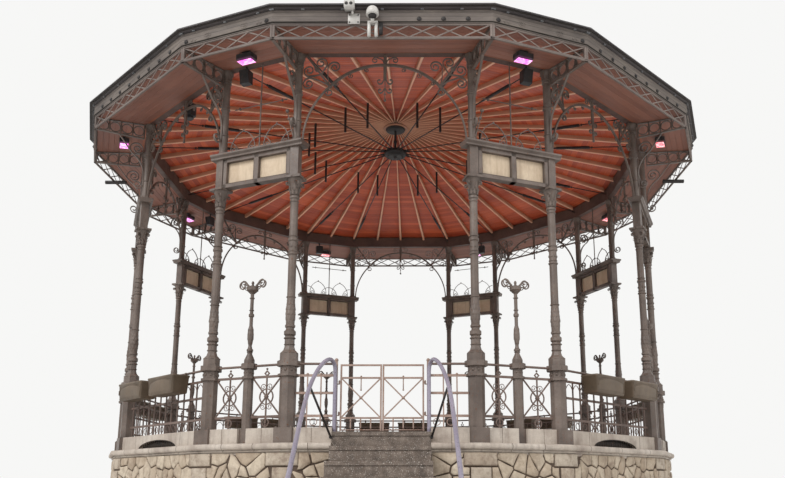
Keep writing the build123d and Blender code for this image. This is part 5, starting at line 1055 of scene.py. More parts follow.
def lay_boards(name, spans, material, slot):
    """Boards of several bays as one piece: spans holds (bays, half angle, start, stop, height)."""
    shapes, tones, alongs = [], [], []
    for bays, half_angle, start, stop, height in spans:
        for bay in bays:
            verts, faces, tone, along = boards_across(half_angle, start, stop, height)
            shapes.append(turned(verts, faces[:, ::-1], bay))
            tones.append(tone)
            alongs.append(along)
    lay_mesh(name, *joined(shapes), material, slot, closed=False, smooth=False, tone=np.concatenate(tones),
             along=np.concatenate(alongs))


ceiling_wood = varnished("ceiling_boards", [(0.40, 0.048, 0.018), (0.68, 0.125, 0.042)],
                         [(0.34, 0.040, 0.016), (0.80, 0.165, 0.055)])
soffit_wood = varnished("soffit_boards", [(0.20, 0.075, 0.050), (0.31, 0.125, 0.080)],
                        [(0.18, 0.070, 0.047), (0.34, 0.140, 0.092)], rough=(0.45, 0.7))
HUB_REACH, BEAM_INSIDE = 0.28, 4.988
SOFFIT_BEND, SOFFIT_END = 5.1484, 5.953
SOFFIT_LEVEL, SOFFIT_FALL = 7.95, 0.0596
lay_boards("ceiling_planks",
           [(WIDE_BAYS, WIDE_HALF, HUB_REACH, BEAM_INSIDE * cos(WIDE_HALF), roof_under),
            (NARROW_BAYS, NARROW_HALF, HUB_REACH, BEAM_INSIDE * cos(NARROW_HALF), roof_under)],
           ceiling_wood, "ceiling_wood")


def soffit_under(corner_radius):
    """Underside of the eaves over a corner line: level past the column caps, then falling outwards."""
    share = np.clip((corner_radius - SOFFIT_BEND) / (SOFFIT_END - SOFFIT_BEND), 0, 1)
    return SOFFIT_LEVEL - SOFFIT_FALL * share


lay_boards("eave_planks",
           [(WIDE_BAYS, WIDE_HALF, SOFFIT_BEND * cos(WIDE_HALF), SOFFIT_END * cos(WIDE_HALF), soffit_under),
            (NARROW_BAYS, NARROW_HALF, SOFFIT_BEND * cos(NARROW_HALF), SOFFIT_END * cos(NARROW_HALF),
             soffit_under)], soffit_wood, "soffit_wood")
plain_ceiling = weathered("ceiling_back", [(0.20, 0.06, 0.03), (0.34, 0.11, 0.055)], 0.4, (0.5, 0.7), 0.2,
                          0.01)
# The first tone is painted shade for the rafters' sides, the second the pale timber of their foot.
rafter_wood = varnished("rafter_timber", [(0.66, 0.30, 0.17), (0.88, 0.50, 0.32)],
                        [(0.16, 0.030, 0.014), (0.92, 0.52, 0.34)])
beam_wood = weathered("beam_timber", [(0.075, 0.036, 0.027), (0.125, 0.065, 0.048)], 0.3, (0.5, 0.75), 0.2,
                      0.01, dirt=(0.035, 0.02, 0.016), dirt_amount=0.5)
finish_node("ceiling_boards", plain_ceiling)
finish_node("soffit", plain_ceiling)
finish_node("ring_beam", beam_wood)

RAFTER_DEEP = 0.088
RAFTER_WIDE = (0.013, 0.056)
RAFTER_ENDS = (0.232, 4.925)


def rafter(local, half_angle):
    """One rafter at an angle off the bay's middle: a bevelled section that widens evenly from the hub
    to the beam, its top let into the boards and its foot a set depth below them."""
    share = cos(half_angle) / cos(local)
    section = np.array([(-0.5, 0.0), (-0.5, 0.86), (-0.34, 1.0), (0.34, 1.0), (0.5, 0.86), (0.5, 0.0)])
    rings = []
    for radius, wide, deep in zip(RAFTER_ENDS, RAFTER_WIDE, (RAFTER_DEEP * 0.8, RAFTER_DEEP)):
        top = roof_under(radius / share) - 0.003
        rings.append(np.stack([section[:, 0] * wide, 0 * section[:, 0] - radius,
                               top - section[:, 1] * deep], -1))
    return spun(capped(rings), np.degrees(local))


rafter_shapes, rafter_count = [], 0
for bays, half_angle, count in ((WIDE_BAYS, WIDE_HALF, 4), (NARROW_BAYS, NARROW_HALF, 2)):
    one_bay = [rafter(half_angle * (2 * index / count - 1), half_angle) for index in range(count)]
    rafter_shapes.append(everywhere(one_bay, bays))
    rafter_count += count * len(bays)
# A rafter has four rings of six points: its sides get painted shade, while the foot and its bevels keep the
# pale timber colour.
rafter_side_shade = np.tile([0.0, 0.22, 1.0, 1.0, 0.22, 0.0], 4 * rafter_count)
grain_run = np.tile(np.repeat([0.2, 0.2, 4.9, 4.9], 6), rafter_count)
grain_side = np.repeat(np.arange(rafter_count) * 0.37, 24) + np.tile(0.04 * np.arange(6), 4 * rafter_count)
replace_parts(lay_mesh("rafter_bars", *joined(rafter_shapes), rafter_wood, "rafter_wood", smooth=False,
                     tone=rafter_side_shade, along=np.stack([grain_run, grain_side], -1)), "rafters")


# Eaves. A frieze of weathered grey timber with turned bosses, beads along its edges, a darker stepped
# cornice with a metal drip, and the paler grey lattice below.

EAVE_RADIUS = 6.0
FASCIA_BACK, FASCIA, DRIP_RADIUS = 6.0003, 6.018, 6.109
FASCIA_LOW, FASCIA_TOP, CORNICE_TOP = 7.914, 8.094, 8.1454
BOSS_LEVEL = 7.953
BOSS_PITCH = 0.345
CARVING_BOSS_X = 0.70


def eave_run(profile):
    """A profile of (corner radius, z) carried round all sixteen corners: the corners lie at the column
    angles, and the flat lengths between them follow of themselves."""
    profile = np.asarray(profile, float)
    turn = np.radians(sorted(angle % 360 for angle in COLUMN_ANGLES))
    corner = np.stack([np.sin(turn), -np.cos(turn)], -1)
    verts = np.concatenate([profile[:, None, :1] * corner[None],
                            np.broadcast_to(profile[:, None, 1:], (len(profile), 16, 1))], -1)
    return verts.reshape(-1, 3), grid_faces(len(profile), 16, True)


def bead_profile(radius, level, proud, tall):
    """A closed half-round bead against a face."""
    turn = np.linspace(-pi / 2, pi / 2, 6)
    return ([(radius - 0.004, level - tall / 2)] + [(radius + proud * np.cos(t), level + tall / 2 * np.sin(t))
                                                   for t in turn] + [(radius - 0.004, level + tall / 2)]
            + [(radius - 0.004, level - tall / 2)])


def facing_out(shape):
    """A shape drawn upwards, laid down so that its top faces -Y."""
    verts, faces = shape
    return verts[:, [0, 2, 1]] * [1, -1, 1], faces


def old_timber(name, colours, dirt, lines):
    """Outdoor timber: grey grain drawn out along the level lines, and dark seams at set heights."""
    material, tree, shader, place = blank_finish(name)
    grain = noise_of(tree, place, 0.010, 6.0, 0.7, stretch=(0.06, 0.06, 1))
    patch = noise_of(tree, place, 0.35, 5.0, 0.65, stretch=(0.5, 0.5, 1))
    colour = mixed(tree, sharpened(tree, grain, 0.3, 0.7), rgba(colours[0]), rgba(colours[1]))
    colour = mixed(tree, sharpened(tree, patch, 0.42, 0.68, 0.0, 0.75), colour, rgba(dirt))
    level = add_node(tree, "ShaderNodeSeparateXYZ", {0: place}).outputs[2]
    for seam in lines:
        away = add_node(tree, "ShaderNodeMath", {0: level, 1: seam}, operation="SUBTRACT").outputs[0]
        away = add_node(tree, "ShaderNodeMath", {0: away}, operation="ABSOLUTE").outputs[0]
        colour = mixed(tree, sharpened(tree, away, 0.0015, 0.004, 0.85, 0.0), colour, (0.03, 0.025, 0.02, 1))
    tree.links.new(colour, shader.inputs["Base Color"])
    tree.links.new(sharpened(tree, grain, 0.2, 0.8, 0.6, 0.85), shader.inputs["Roughness"])
    add_relief(tree, shader, grain, 0.35, 0.003)
    return material


frieze_wood = old_timber("frieze_timber", [(0.105, 0.086, 0.077), (0.245, 0.205, 0.174)],
                         (0.055, 0.044, 0.042), (7.914, 7.995, 8.056))
cornice_wood = old_timber("cornice_timber", [(0.038, 0.031, 0.032), (0.085, 0.072, 0.070)],
                          (0.022, 0.018, 0.019), (8.121,))
valance_wood = old_timber("valance_timber", [(0.155, 0.120, 0.105), (0.265, 0.215, 0.190)],
                          (0.085, 0.064, 0.057), (7.680,))
drip_zinc = weathered("drip_zinc", [(0.15, 0.15, 0.16), (0.24, 0.24, 0.25)], 0.2, (0.4, 0.6), 0.1, 0.02,
                      metal=0.5, dirt=(0.07, 0.065, 0.065), dirt_amount=0.5)
finish_node("frieze", frieze_wood)
fascia = [(FASCIA_BACK, FASCIA_LOW), (FASCIA, FASCIA_LOW), (FASCIA, FASCIA_TOP), (FASCIA_BACK, FASCIA_TOP),
          (FASCIA_BACK, FASCIA_LOW)]
moulding = ([(FASCIA_BACK, FASCIA_TOP), (FASCIA, FASCIA_TOP)]
            + [(FASCIA + 0.006 + 0.040 * np.sin(t), FASCIA_TOP + 0.004 + 0.022 * (1 - np.cos(t)))
               for t in np.linspace(0, pi / 2, 6)]
            + [(6.088, 8.121), (6.088, 8.131), (6.110, 8.131), (6.110, CORNICE_TOP),
               (FASCIA_BACK, CORNICE_TOP), (FASCIA_BACK, FASCIA_TOP)])
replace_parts(lay_mesh("eave_fascia", *eave_run(fascia), frieze_wood, "frieze_wood", smooth=False),
            "eave_cornice")
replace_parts(lay_mesh("cornice_moulding", *eave_run(moulding), cornice_wood, "cornice_wood", smooth=False),
            "eave_cornice")
eave_beads = [eave_run(bead_profile(radius, level, proud, tall))
              for radius, level, proud, tall in ((6.0, 7.899, 0.007, 0.014), (FASCIA, 7.921, 0.005, 0.010),
                                                 (FASCIA, 8.084, 0.008, 0.014))]
lay_mesh("frieze_beads", *joined(eave_beads), frieze_wood, "frieze_wood", smooth=False)
drip = [(DRIP_RADIUS, 8.128), (6.1095, 8.146), (DRIP_RADIUS, 8.1466), (EAVE_RADIUS, 8.1466),
        (EAVE_RADIUS, 8.1459), (6.1088, 8.1459), (6.1088, 8.128), (DRIP_RADIUS, 8.128)]
lay_mesh("eave_drip", *eave_run(drip), drip_zinc, "roof_zinc", smooth=False)

boss = facing_out(lathe([(0, 0), (0.033, 0), (0.033, 0.008), (0.024, 0.018), (0.013, 0.020), (0.008, 0.026),
                         (0, 0.027)], 18))
wide_spots = BOSS_PITCH * (np.arange(8) - 3.5)
bosses = []
for bay in WIDE_BAYS:
    # In the front bay the watch cameras take the place of the five bosses on the left.
    spots = wide_spots[5:] if bay == 0 else wide_spots
    bosses.append(in_bays([moved(boss, x, 0, BOSS_LEVEL) for x in spots], FASCIA * cos(WIDE_HALF), bay))
bosses.append(in_bays([moved(boss, x, 0, BOSS_LEVEL) for x in (-CARVING_BOSS_X, CARVING_BOSS_X)],
                      FASCIA * cos(NARROW_HALF), NARROW_BAYS))
lay_mesh("frieze_bosses", *joined(bosses), dark_iron, "dark_iron")

carving = []
for side in (-1, 1):
    for heading, turns in ((0, 1.3), (180, -1.3)):
        curl = spiral((side * 0.315, 7.935), heading if side > 0 else 180 - heading, 0.048, 0.011,
                      side * turns, 22)
        carving.append(tube(curl, 0.0065, 6))
    carving += [moved(rosette(0.024, 4, 16, 0.3), side * x, -0.001, BOSS_LEVEL) for x in (0.60, 0.54)]
lay_mesh("frieze_carving", *in_bays(carving, FASCIA * cos(NARROW_HALF), NARROW_BAYS), frieze_wood,
         "frieze_wood")

VALANCE_LOW, VALANCE_HIGH = 7.6604, 7.8904
RAIL_TALL, HEAD_TALL, POST_WIDE, LATH = 0.036, 0.020, 0.034, 0.019
lattice = []
for bays, half_angle, cells in ((WIDE_BAYS, WIDE_HALF, 8), (NARROW_BAYS, NARROW_HALF, 4)):
    half = EAVE_RADIUS * sin(half_angle) - 0.003
    y = -EAVE_RADIUS * cos(half_angle) + 0.017
    foot, head = VALANCE_LOW + RAIL_TALL / 2, VALANCE_HIGH - HEAD_TALL / 2
    one_bay = [bar((-half, y, foot), (half, y, foot), RAIL_TALL, 0.030),
               bar((-half, y, head), (half, y, head), HEAD_TALL, 0.028)]
    for x in (POST_WIDE / 2 - half, half - POST_WIDE / 2):
        one_bay.append(bar((x, y, VALANCE_LOW), (x, y, VALANCE_HIGH), POST_WIDE, 0.030))
    edges = np.linspace(POST_WIDE - half, half - POST_WIDE, cells + 1)
    z0, z1 = VALANCE_LOW + RAIL_TALL - 0.004, VALANCE_HIGH - HEAD_TALL + 0.004
    for x0, x1 in zip(edges[:-1], edges[1:]):
        one_bay += [bar((x0, y - 0.004, z0), (x1, y - 0.004, z1), LATH, 0.008),
                    bar((x0, y + 0.004, z1), (x1, y + 0.004, z0), LATH, 0.008)]
    lattice.append(everywhere(one_bay, bays))
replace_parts(lay_mesh("valance_lattice", *joined(lattice), valance_wood, "valance_wood", smooth=False),
            "valance")

CLEAT_RADIUS, CLEAT_LEVEL, CLEAT_PITCH = 6.045, 8.162, 0.45
cleats = [bar((x - 0.06, 0, CLEAT_LEVEL), (x + 0.06, 0, CLEAT_LEVEL), 0.030, 0.045)
          for x in CLEAT_PITCH * (np.arange(6) - 2.5)]
lay_mesh("roof_edge_cleats", *in_bays(cleats, CLEAT_RADIUS * cos(WIDE_HALF), WIDE_BAYS[1:]), cornice_wood,
         "cornice_wood", smooth=False)


# Roof. Grey sheet metal laid in trays between standing rolls that run down each bay square to the
# eave and end over the cornice, heavier rolls on the hips, and a low cap with a turned finial.

COVER = 0.080
ROLL_PITCH = 0.56
CAP_EDGE, ROLL_END = 0.36, 0.050
roof_zinc = weathered(
    "roof_zinc", [(0.15, 0.155, 0.165), (0.22, 0.225, 0.235), (0.28, 0.285, 0.29)], 0.5, (0.4, 0.65), 0.12,
    0.02, metal=0.5, dirt=(0.13, 0.12, 0.11), dirt_amount=0.5, runs=0.2)
finish_node("roof_panels", roof_zinc)
finish_node("roof_cap", roof_zinc)


def roof_roll(start, stop, width, tall):
    """A standing roll between two points on the roof: a flat-topped hump carried along the line and
    closed at both ends."""
    start, stop = np.asarray(start, float), np.asarray(stop, float)
    heading = (stop - start) / np.linalg.norm(stop - start)
    side = np.cross(heading, [0, 0, 1])
    side /= np.linalg.norm(side)
    hump = np.array([(-0.5, -0.1), (-0.42, 0.75), (-0.25, 1.0), (0.25, 1.0), (0.42, 0.75), (0.5, -0.1)])
    ring = hump[:, :1] * width * side + hump[:, 1:] * tall * np.array([0, 0, 1.0])
    return capped([start + ring, stop + ring])


rolls = []
for half_angle, bays in ((WIDE_HALF, WIDE_BAYS), (NARROW_HALF, NARROW_BAYS)):
    reach = EAVE_RADIUS * sin(half_angle)
    far = EAVE_RADIUS * cos(half_angle) + ROLL_END
    count = int(reach / ROLL_PITCH)
    one_bay = []
    for x in ROLL_PITCH * np.arange(-count, count + 1):
        near = max(abs(x) / tan(half_angle), CAP_EDGE)
        if far - near < 0.3:
            continue
        ends = [(x, -d, roof_under(d / cos(half_angle)) + COVER) for d in (near, far)]
        one_bay.append(roof_roll(*ends, 0.045, 0.040))
    rolls.append(everywhere(one_bay, bays))
hip_ends = [(0, -radius, roof_under(radius) + COVER) for radius in (CAP_EDGE, EAVE_RADIUS + ROLL_END)]
rolls.append(spun(roof_roll(*hip_ends, 0.07, 0.050), COLUMN_ANGLES))
lay_mesh("roof_rolls", *joined(rolls), roof_zinc, "roof_zinc", smooth=False)

# Radius and depth below the cap's top, of the finial and of the ribs that run up to it.
cap_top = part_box("roof_cap")[1].z
finial = lathe([(radius, cap_top - down) for radius, down in (
    (0, 0.20), (0.10, 0.12), (0.075, 0.085), (0.045, 0.075), (0.050, 0.045), (0.062, 0.030), (0.045, 0.010),
    (0, 0.001))], 28)
cap_rib = tube([(0, -radius, cap_top - down) for radius, down in (
    (0.325, 0.192), (0.232, 0.140), (0.130, 0.088), (0.062, 0.030))], 0.010, 8)
lay_mesh("cap_finial", *joined([finial, spun(cap_rib, COLUMN_ANGLES)]), roof_zinc, "roof_zinc")


# Arches, brackets and hubs. Flat-iron scrolls are held by wrapped collars, with balls in their eyes.
# Two dark cast drums, the lower one pierced by the tie rods' sockets, hold the roof's middle.

RIB_CENTRE = (-0.025, 6.6948)
RIB_RADIUS = 1.0902
arch_trim = [moved(rosette(0.034, 8, 28), 0, -0.016, 7.785), ring_of(0.008, 7.54, 0.018, 0.012),
             ring_of(0.008, 7.30, 0.018, 0.012), moved(ball(0.022, 14, 8), 0, 0, 7.20)]
for side in (-1, 1):
    arch_trim += [moved(ball(0.030, 14, 8), side * 0.830, 0, 7.430),
                  moved(ball(0.020, 12, 8), side * 1.2207, 0, 6.545),
                  moved(rosette(0.030, 6, 22), side * 1.0324, -0.015, 7.716)]
    for turn, size in ((13.5, 0.042), (27.5, 0.046), (41.0, 0.036)):
        foot = (RIB_CENTRE[0] - RIB_RADIUS * sin(radians(turn)),
                RIB_CENTRE[1] + (RIB_RADIUS - 0.012) * cos(radians(turn)))
        path = spiral(foot, 184 + turn, size, 0.010, 1.3, 24) * [side, 1, 1]
        arch_trim += [tube(path, 0.0075, 6), moved(ball(0.012, 10, 6), *path[-1])]
lay_mesh("arch_trim", *in_bays(arch_trim, WIDE_DISTANCE, WIDE_BAYS), iron_paint, "iron_paint")

hub_low, hub_high = (corner.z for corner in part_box("roof_hub"))
apex_drum = lathe([(0, hub_low), (0.16, hub_low), (0.195, hub_low + 0.010), (0.205, hub_low + 0.026),
                   (0.205, hub_high), (0, hub_high)], 40)
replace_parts(lay_mesh("apex_drum", *apex_drum, dark_iron, "dark_iron"), "roof_hub")
apex_collar = lathe([(0.204, hub_high - 0.018), (0.255, hub_high - 0.014), (0.262, hub_high),
                     (0.204, hub_high + 0.004), (0.204, hub_high - 0.018)], 48)
# Its points carry no tone, so the rafter finish mixes its painted side shade half into the collar's colour.
lay_mesh("apex_collar", *apex_collar, rafter_wood, "rafter_wood")

DRUM_RADIUS = 0.236
drum = lathe([(0, 8.442), (0.13, 8.445), (0.200, 8.458), (0.228, 8.482), (DRUM_RADIUS, 8.520),
              (DRUM_RADIUS, 8.560), (0.190, 8.586), (0.080, 8.596), (0.045, 8.608), (0.032, 8.6203),
              (0, 8.6203)], 40)
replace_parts(lay_mesh("tie_drum", *drum, dark_iron, "dark_iron"), "lower_hub")
TIE_RADII = (0.085, COLUMN_RADIUS)
TIE_LEVELS = (8.56, 8.09)


def tie_point(radius):
    """A point of the tie rod's axis in the front: its height falls evenly from the drum to the beam."""
    return np.array([0, -radius, np.interp(radius, TIE_RADII, TIE_LEVELS)])


tie_bar = [tube([tie_point(0.175), tie_point(3.42)], 0.012, 8),
           tube([tie_point(3.40), tie_point(4.985)], 0.010, 8),
           bar(tie_point(3.42), tie_point(4.08), 0.046, 0.050, 0.2),
           tube([tie_point(3.28), tie_point(3.45)], 0.018, 8), moved(ball(0.022, 10, 6), *tie_point(4.12))]
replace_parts(lay_mesh("tie_bars", *everywhere(tie_bar, COLUMN_ANGLES), dark_iron, "dark_iron"), "tie_rods")
sockets = everywhere([tube([tie_point(DRUM_RADIUS - 0.01), tie_point(DRUM_RADIUS + 0.085)], 0.020, 8),
                      moved(ball(0.013, 8, 6), 0, -0.165, 8.452)], COLUMN_ANGLES)
drum_balls = [moved(ball(0.036, 16, 10, 1.5), 0, 0, 8.800), moved(ball(0.040, 18, 10), 0, 0, 8.446)]
lay_mesh("tie_sockets", *joined([sockets, *drum_balls]), dark_iron, "dark_iron")


# Planters. Moulded olive-brown troughs hooked over the rail, with a rolled rim, a raised lens on the
# outer face and bare soil inside.

PLANTER_LOW, PLANTER_TOP = 2.885, 3.16
PLANTER_BACK = 4.8952
PLANTER_HALF, PLANTER_DEEP = 0.405, 0.300
LENS_FOOT, LENS_TALL, LENS_ARCH = 0.030, 0.150, 0.050
PLANTER_LEAN = 0.016
planter_plastic = weathered(
    "olive_plastic", [(0.118, 0.082, 0.052), (0.178, 0.130, 0.088)], 0.3, (0.42, 0.6), 0.1, 0.006,
    dirt=(0.05, 0.038, 0.026), dirt_amount=0.5, runs=0.3)
soil = weathered("planter_soil", [(0.025, 0.016, 0.010), (0.06, 0.04, 0.026)], 0.05, (0.85, 0.95), 0.9, 0.012)


def rounded_ring(half_x, half_y, corner, level):
    """A rectangle with round corners at one height: four quarter circles joined by straights."""
    turn = np.linspace(0, pi / 2, 6)[None, :] + (pi / 2 * np.arange(4))[:, None]
    centre_x = (half_x - corner) * np.array([1, -1, -1, 1])[:, None]
    centre_y = (half_y - corner) * np.array([1, 1, -1, -1])[:, None]
    x, y = centre_x + corner * np.cos(turn), centre_y + corner * np.sin(turn)
    return np.stack([x, y, level + 0 * x], -1).reshape(-1, 3)


def lens_level(across, up):
    """Height of a point of the lens: its top is arched by one less the square of the way across."""
    return PLANTER_LOW + LENS_FOOT + up * (LENS_TALL + LENS_ARCH * (1 - across ** 2))


def lean_at(level):
    """How far the trough's side has come out at a height: evenly from foot to rim."""
    return PLANTER_LEAN * (level - PLANTER_LOW) / (PLANTER_TOP - PLANTER_LOW)


half_y = PLANTER_DEEP / 2
front, back, middle = -PLANTER_BACK - PLANTER_DEEP, -PLANTER_BACK, -PLANTER_BACK - half_y
rings = [(0.30, 0.08, 0.02, PLANTER_LOW), (PLANTER_HALF - 0.036, half_y - 0.030, 0.022, PLANTER_LOW),
         (PLANTER_HALF - 0.028, half_y - 0.022, 0.026, PLANTER_LOW + 0.010),
         (PLANTER_HALF - 0.009, half_y - 0.008, 0.030, PLANTER_TOP - 0.032),
         (PLANTER_HALF - 0.001, half_y - 0.001, 0.032, PLANTER_TOP - 0.027),
         (PLANTER_HALF, half_y, 0.032, PLANTER_TOP - 0.006),
         (PLANTER_HALF - 0.005, half_y - 0.005, 0.030, PLANTER_TOP),
         (PLANTER_HALF - 0.014, half_y - 0.014, 0.024, PLANTER_TOP - 0.002),
         (PLANTER_HALF - 0.018, half_y - 0.018, 0.022, PLANTER_TOP - 0.050)]
trough = np.concatenate([rounded_ring(*ring) for ring in rings])
trough = np.concatenate([trough[:24] * [0, 0, 1], trough, trough[-24:] * [0, 0, 1]])
trough_parts = [moved((trough, grid_faces(len(rings) + 2, 24, True)), 0, middle, 0)]

# Two flat straps hook over the rail; drawn at the trough's middle, as all of it is, and then shifted.
STRAP_LINE = [(-0.001, 3.09), (-0.001, 3.18), (0.003, 3.212), (0.0173, 3.2185), (0.032, 3.212), (0.036, 3.18)]
for hook_x in (-0.22, 0.22):
    strap = flowing([(hook_x, back + out, level) for out, level in STRAP_LINE], 4)
    trough_parts.append(tube(strap, 0.0025, 8, 6.0))

# The lens is a sheet raised by the sine of the way up, and a round bead follows its edge.
u = np.linspace(-1, 1, 25)[:, None]
v = np.linspace(0, 1, 11)[None, :]
z = lens_level(u, v)
lift = 0.013 * np.sin(pi * v) ** 0.45 * (1 - u ** 6)
lens_verts = np.stack([u * (PLANTER_HALF - 0.055) + 0 * v, front + 0.025 - lean_at(z) - lift, z], -1)
lens_sheet = (lens_verts.reshape(-1, 3), grid_faces(25, 11))
edge_u = np.concatenate([u[:, 0], [1.0], u[::-1, 0], [-1.0]])
edge_v = np.concatenate([0 * u[:, 0], [0.5], 1 + 0 * u[:, 0], [0.5]])
edge_z = lens_level(edge_u, edge_v)
edge_line = np.stack([edge_u * (PLANTER_HALF - 0.048), front + 0.021 - lean_at(edge_z),
                      edge_z + 0.004 * np.sign(edge_v - 0.5)], -1)
trough_parts.append(tube(edge_line, 0.0045, 6))

troughs, lenses, soils = [], [], []
soil_draw = np.random.default_rng(5)
soil_x, soil_y = np.meshgrid(np.linspace(-1, 1, 24) * (PLANTER_HALF - 0.019),
                             middle + np.linspace(-1, 1, 10) * (half_y - 0.019), indexing="ij")
for bay in WIDE_BAYS[1:]:
    away = 1 if bay <= 180 else -1
    for shift in (-away * 0.345, away * 0.68):
        troughs.append(spun(moved(joined(trough_parts), shift), bay))
        lenses.append(spun(moved(lens_sheet, shift), bay))
        waves = 0.010 * np.sin(37 * soil_x + 5 * shift) * np.cos(41 * soil_y)
        bumps = PLANTER_TOP - 0.034 + waves + soil_draw.normal(0, 0.0035, soil_x.shape)
        soil_verts = np.stack([soil_x + shift, soil_y, bumps], -1).reshape(-1, 3)
        soils.append(turned(soil_verts, grid_faces(24, 10), bay))
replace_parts(lay_mesh("planter_troughs", *joined(troughs), planter_plastic, "planter_plastic"), "planters")
lay_mesh("planter_lenses", *joined(lenses), planter_plastic, "planter_plastic", closed=False)
lay_mesh("planter_soil", *joined(soils), soil, "planter_plastic", closed=False)


# Lamps, loudspeakers and cameras. Flat floodlights with a coloured glass under each narrow bay, small
# moulded speakers with a dimpled grille, a dark lamp case under the beam, and on the front fascia a
# dome camera beside a white plate and case.

LAMP_RADIUS = 5.49
LAMP_DROP = 0.162
LAMP_DISTANCE = LAMP_RADIUS * cos(NARROW_HALF)
black_case = weathered("black_case", [(0.012, 0.012, 0.014), (0.026, 0.026, 0.028)], 0.15, (0.4, 0.6), 0.25,
                       0.003, dirt=(0.09, 0.08, 0.075), dirt_amount=0.3)
white_case = weathered("white_case", [(0.55, 0.53, 0.50), (0.70, 0.68, 0.65)], 0.08, (0.3, 0.5), 0.06, 0.004,
                       dirt=(0.36, 0.33, 0.29), dirt_amount=0.4, runs=0.3)
finish_node("floodlights", black_case)


def lamp_glass(name, colour, strength):
    """Glass lit from behind: brighter in the middle of each reflector, by a noise of its own size."""
    material, tree, shader, place = blank_finish(name)
    cells = noise_of(tree, place, 0.03, 2.0, 0.5)
    pale = [0.5 + 0.5 * c for c in colour]
    shade = mixed(tree, sharpened(tree, cells, 0.35, 0.65), rgba(colour), rgba(pale))
    tree.links.new(shade, shader.inputs["Base Color"])
    tree.links.new(shade, shader.inputs["Emission Color"])
    shader.inputs["Emission Strength"].default_value = strength
    shader.inputs["Roughness"].default_value = 0.15
    return material


magenta_glass = lamp_glass("magenta_glass", (1.0, 0.10, 0.75), 1.1)
red_glass = lamp_glass("red_glass", (1.0, 0.06, 0.10), 1.1)
u = np.linspace(-1, 1, 17)[:, None]
v = np.linspace(-1, 1, 11)[None, :]
dome = 0.010 * (1 - u ** 4) * (1 - v ** 4)
lens_tilt = radians(4.2)
lens_y = 0.074 * v + 0 * u
lens_z = -LAMP_DROP - dome
glass = np.stack([0.122 * u + 0 * v, -LAMP_DISTANCE + lens_y * cos(lens_tilt) - lens_z * sin(lens_tilt),
                  soffit_under(LAMP_RADIUS) + lens_y * sin(lens_tilt) + lens_z * cos(lens_tilt)], -1)
glass_faces = grid_faces(17, 11)[:, ::-1]
for bay in NARROW_BAYS:
    red = bay in (67.5, 112.5, 202.5)
    lay_mesh("lamp_glass_%d" % NARROW_BAYS.index(bay), *turned(glass.reshape(-1, 3), glass_faces, bay),
             red_glass if red else magenta_glass, "lamp_glow", closed=False)

SPEAKER_TOP, SPEAKER_LOW = 7.870, 7.665
SPEAKER_HALF = 0.083
SPEAKER_X = 0.29
SPEAKER_DEEP_TOP, SPEAKER_DEEP_LOW = 0.155, 0.105
speaker_back = -NARROW_DISTANCE + 0.045
corners = [(-1, 0), (-1, 0.92), (-0.9, 1.0), (0.9, 1.0), (1, 0.92), (1, 0)]
case = capped([np.array([(x * SPEAKER_HALF, speaker_back - share * depth, level) for x, share in corners])
               for depth, level in ((SPEAKER_DEEP_TOP, SPEAKER_TOP), (SPEAKER_DEEP_LOW, SPEAKER_LOW))])
hanger = moved(lathe([(0, 7.855), (0.016, 7.855), (0.016, 7.9495), (0, 7.9495)], 12), 0,
               speaker_back - 0.060, 0)

# The grille is a grid whose points stand out and in by turns, on a face that leans with the case.
u = np.linspace(-1, 1, 19)[:, None]
v = np.linspace(0, 1, 21)[None, :]
z = SPEAKER_LOW + 0.010 + (SPEAKER_TOP - SPEAKER_LOW - 0.020) * v
depth = np.interp(z, (SPEAKER_LOW, SPEAKER_TOP), (SPEAKER_DEEP_LOW, SPEAKER_DEEP_TOP))
dimple = 0.0018 * np.cos(pi * np.arange(19))[:, None] * np.cos(pi * np.arange(21))[None, :]
grille_verts = np.stack([(SPEAKER_HALF - 0.010) * u + 0 * v, speaker_back - depth - 0.003 - dimple,
                         z + 0 * u], -1)
grille = (grille_verts.reshape(-1, 3), grid_faces(19, 21))
cases, grilles = [], []
for bay, side in ((-22.5, -1), (22.5, 1), (-112.5, -1), (-157.5, 1), (157.5, -1)):
    cases += [spun(moved(shape, side * SPEAKER_X), bay) for shape in (case, hanger)]
    grilles.append(spun(moved(grille, side * SPEAKER_X), bay))
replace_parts(lay_mesh("speaker_cases", *joined(cases), black_case, "speaker_black", smooth=False), "speakers")
lay_mesh("speaker_grilles", *joined(grilles), dark_iron, "speaker_black", closed=False)

beam_case = [bar((-0.06, 0, low), (-0.06, 0, high), wide, deep, bevel) for low, high, wide, deep, bevel in (
    (7.715, 7.930, 0.220, 0.150, 0.2), (7.675, 7.720, 0.150, 0.110, 0.3), (7.925, 7.952, 0.060, 0.040, 0.15))]
lay_mesh("beam_lamp_case", *in_bays(beam_case, 4.775, 315.0), black_case, "speaker_black", smooth=False)

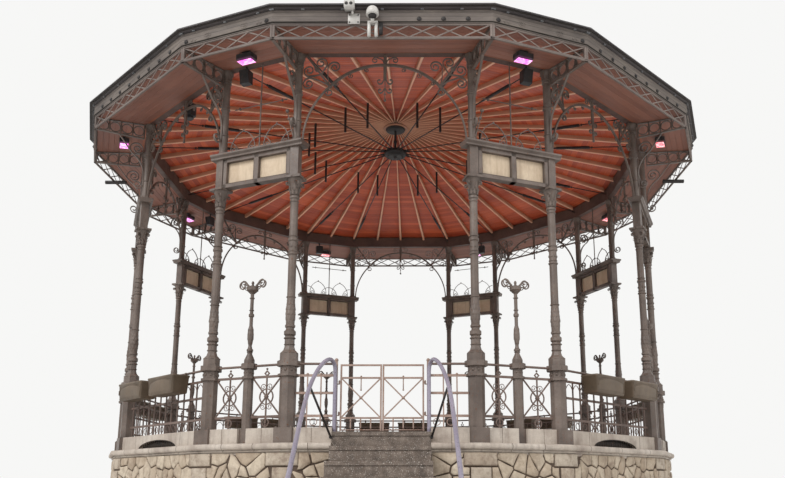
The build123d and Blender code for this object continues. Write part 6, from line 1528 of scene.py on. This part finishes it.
# The watch cameras hang on the front fascia: y is measured from its face, towards the steps.
DOME_X, DOME_OUT, DOME_LEVEL = -0.134, -0.105, 7.995
DOME_RADIUS, BOWL_RADIUS = 0.088, 0.060
PLATE_X = -0.400
EAVE_FACE = FASCIA * cos(WIDE_HALF)
shell = [(DOME_RADIUS * np.sin(t), DOME_LEVEL + DOME_RADIUS * np.cos(t)) for t in np.linspace(0, pi / 2, 8)]
shell += [(0.090, DOME_LEVEL - 0.045), (0.080, DOME_LEVEL - 0.052), (0, DOME_LEVEL - 0.052)]
white_parts = [moved(lathe(shell, 28), DOME_X, DOME_OUT, 0)]
white_parts += [bar(*sizes) for sizes in (
    ((DOME_X, DOME_OUT, 7.900), (DOME_X, 0.002, 7.880), 0.050, 0.040),
    ((DOME_X - 0.050, -0.026, 7.668), (DOME_X - 0.050, -0.026, 7.880), 0.046, 0.046, 0.3),
    ((DOME_X + 0.050, -0.026, 7.668), (DOME_X + 0.050, -0.026, 7.880), 0.046, 0.046, 0.3),
    ((DOME_X - 0.07, -0.020, 7.885), (DOME_X + 0.07, -0.020, 7.885), 0.030, 0.058),
    ((PLATE_X, -0.002, 7.878), (PLATE_X, -0.002, 8.036), 0.170, 0.012, 0.4),
    ((PLATE_X - 0.060, -0.130, 8.120), (PLATE_X - 0.060, -0.012, 8.128), 0.150, 0.125),
    ((PLATE_X - 0.02, -0.020, 8.020), (PLATE_X - 0.02, -0.020, 8.080), 0.030, 0.030))]
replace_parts(lay_mesh("watch_camera_cases", *in_bays(white_parts, EAVE_FACE, 0), white_case, "fixture_white"),
            "watch_cameras")
bowl = [(0, DOME_LEVEL - 0.050), (BOWL_RADIUS, DOME_LEVEL - 0.050)]
bowl += [(BOWL_RADIUS * np.cos(t), DOME_LEVEL - 0.052 - 0.050 * np.sin(t)) for t in np.linspace(0, pi / 2, 6)]
screw = facing_out(lathe([(0, 0), (0.011, 0), (0.011, 0.006), (0, 0.008)], 10))
eye = facing_out(lathe([(0, 0), (0.024, 0), (0.024, 0.006), (0.016, 0.010), (0, 0.004)], 16))
dark_parts = [moved(lathe(bowl, 24), DOME_X, DOME_OUT, 0),
              bar((DOME_X + 0.115, -0.020, 7.700), (DOME_X + 0.115, -0.020, 7.870), 0.055, 0.050)]
dark_parts += [moved(screw, PLATE_X + x, -0.008, z) for x in (-0.060, 0.060) for z in (7.900, 8.014)]
dark_parts += [moved(eye, PLATE_X + x, -0.130, 8.120) for x in (-0.100, -0.035)]
lay_mesh("watch_camera_glass", *in_bays(dark_parts, EAVE_FACE, 0), dark_iron, "dark_iron")
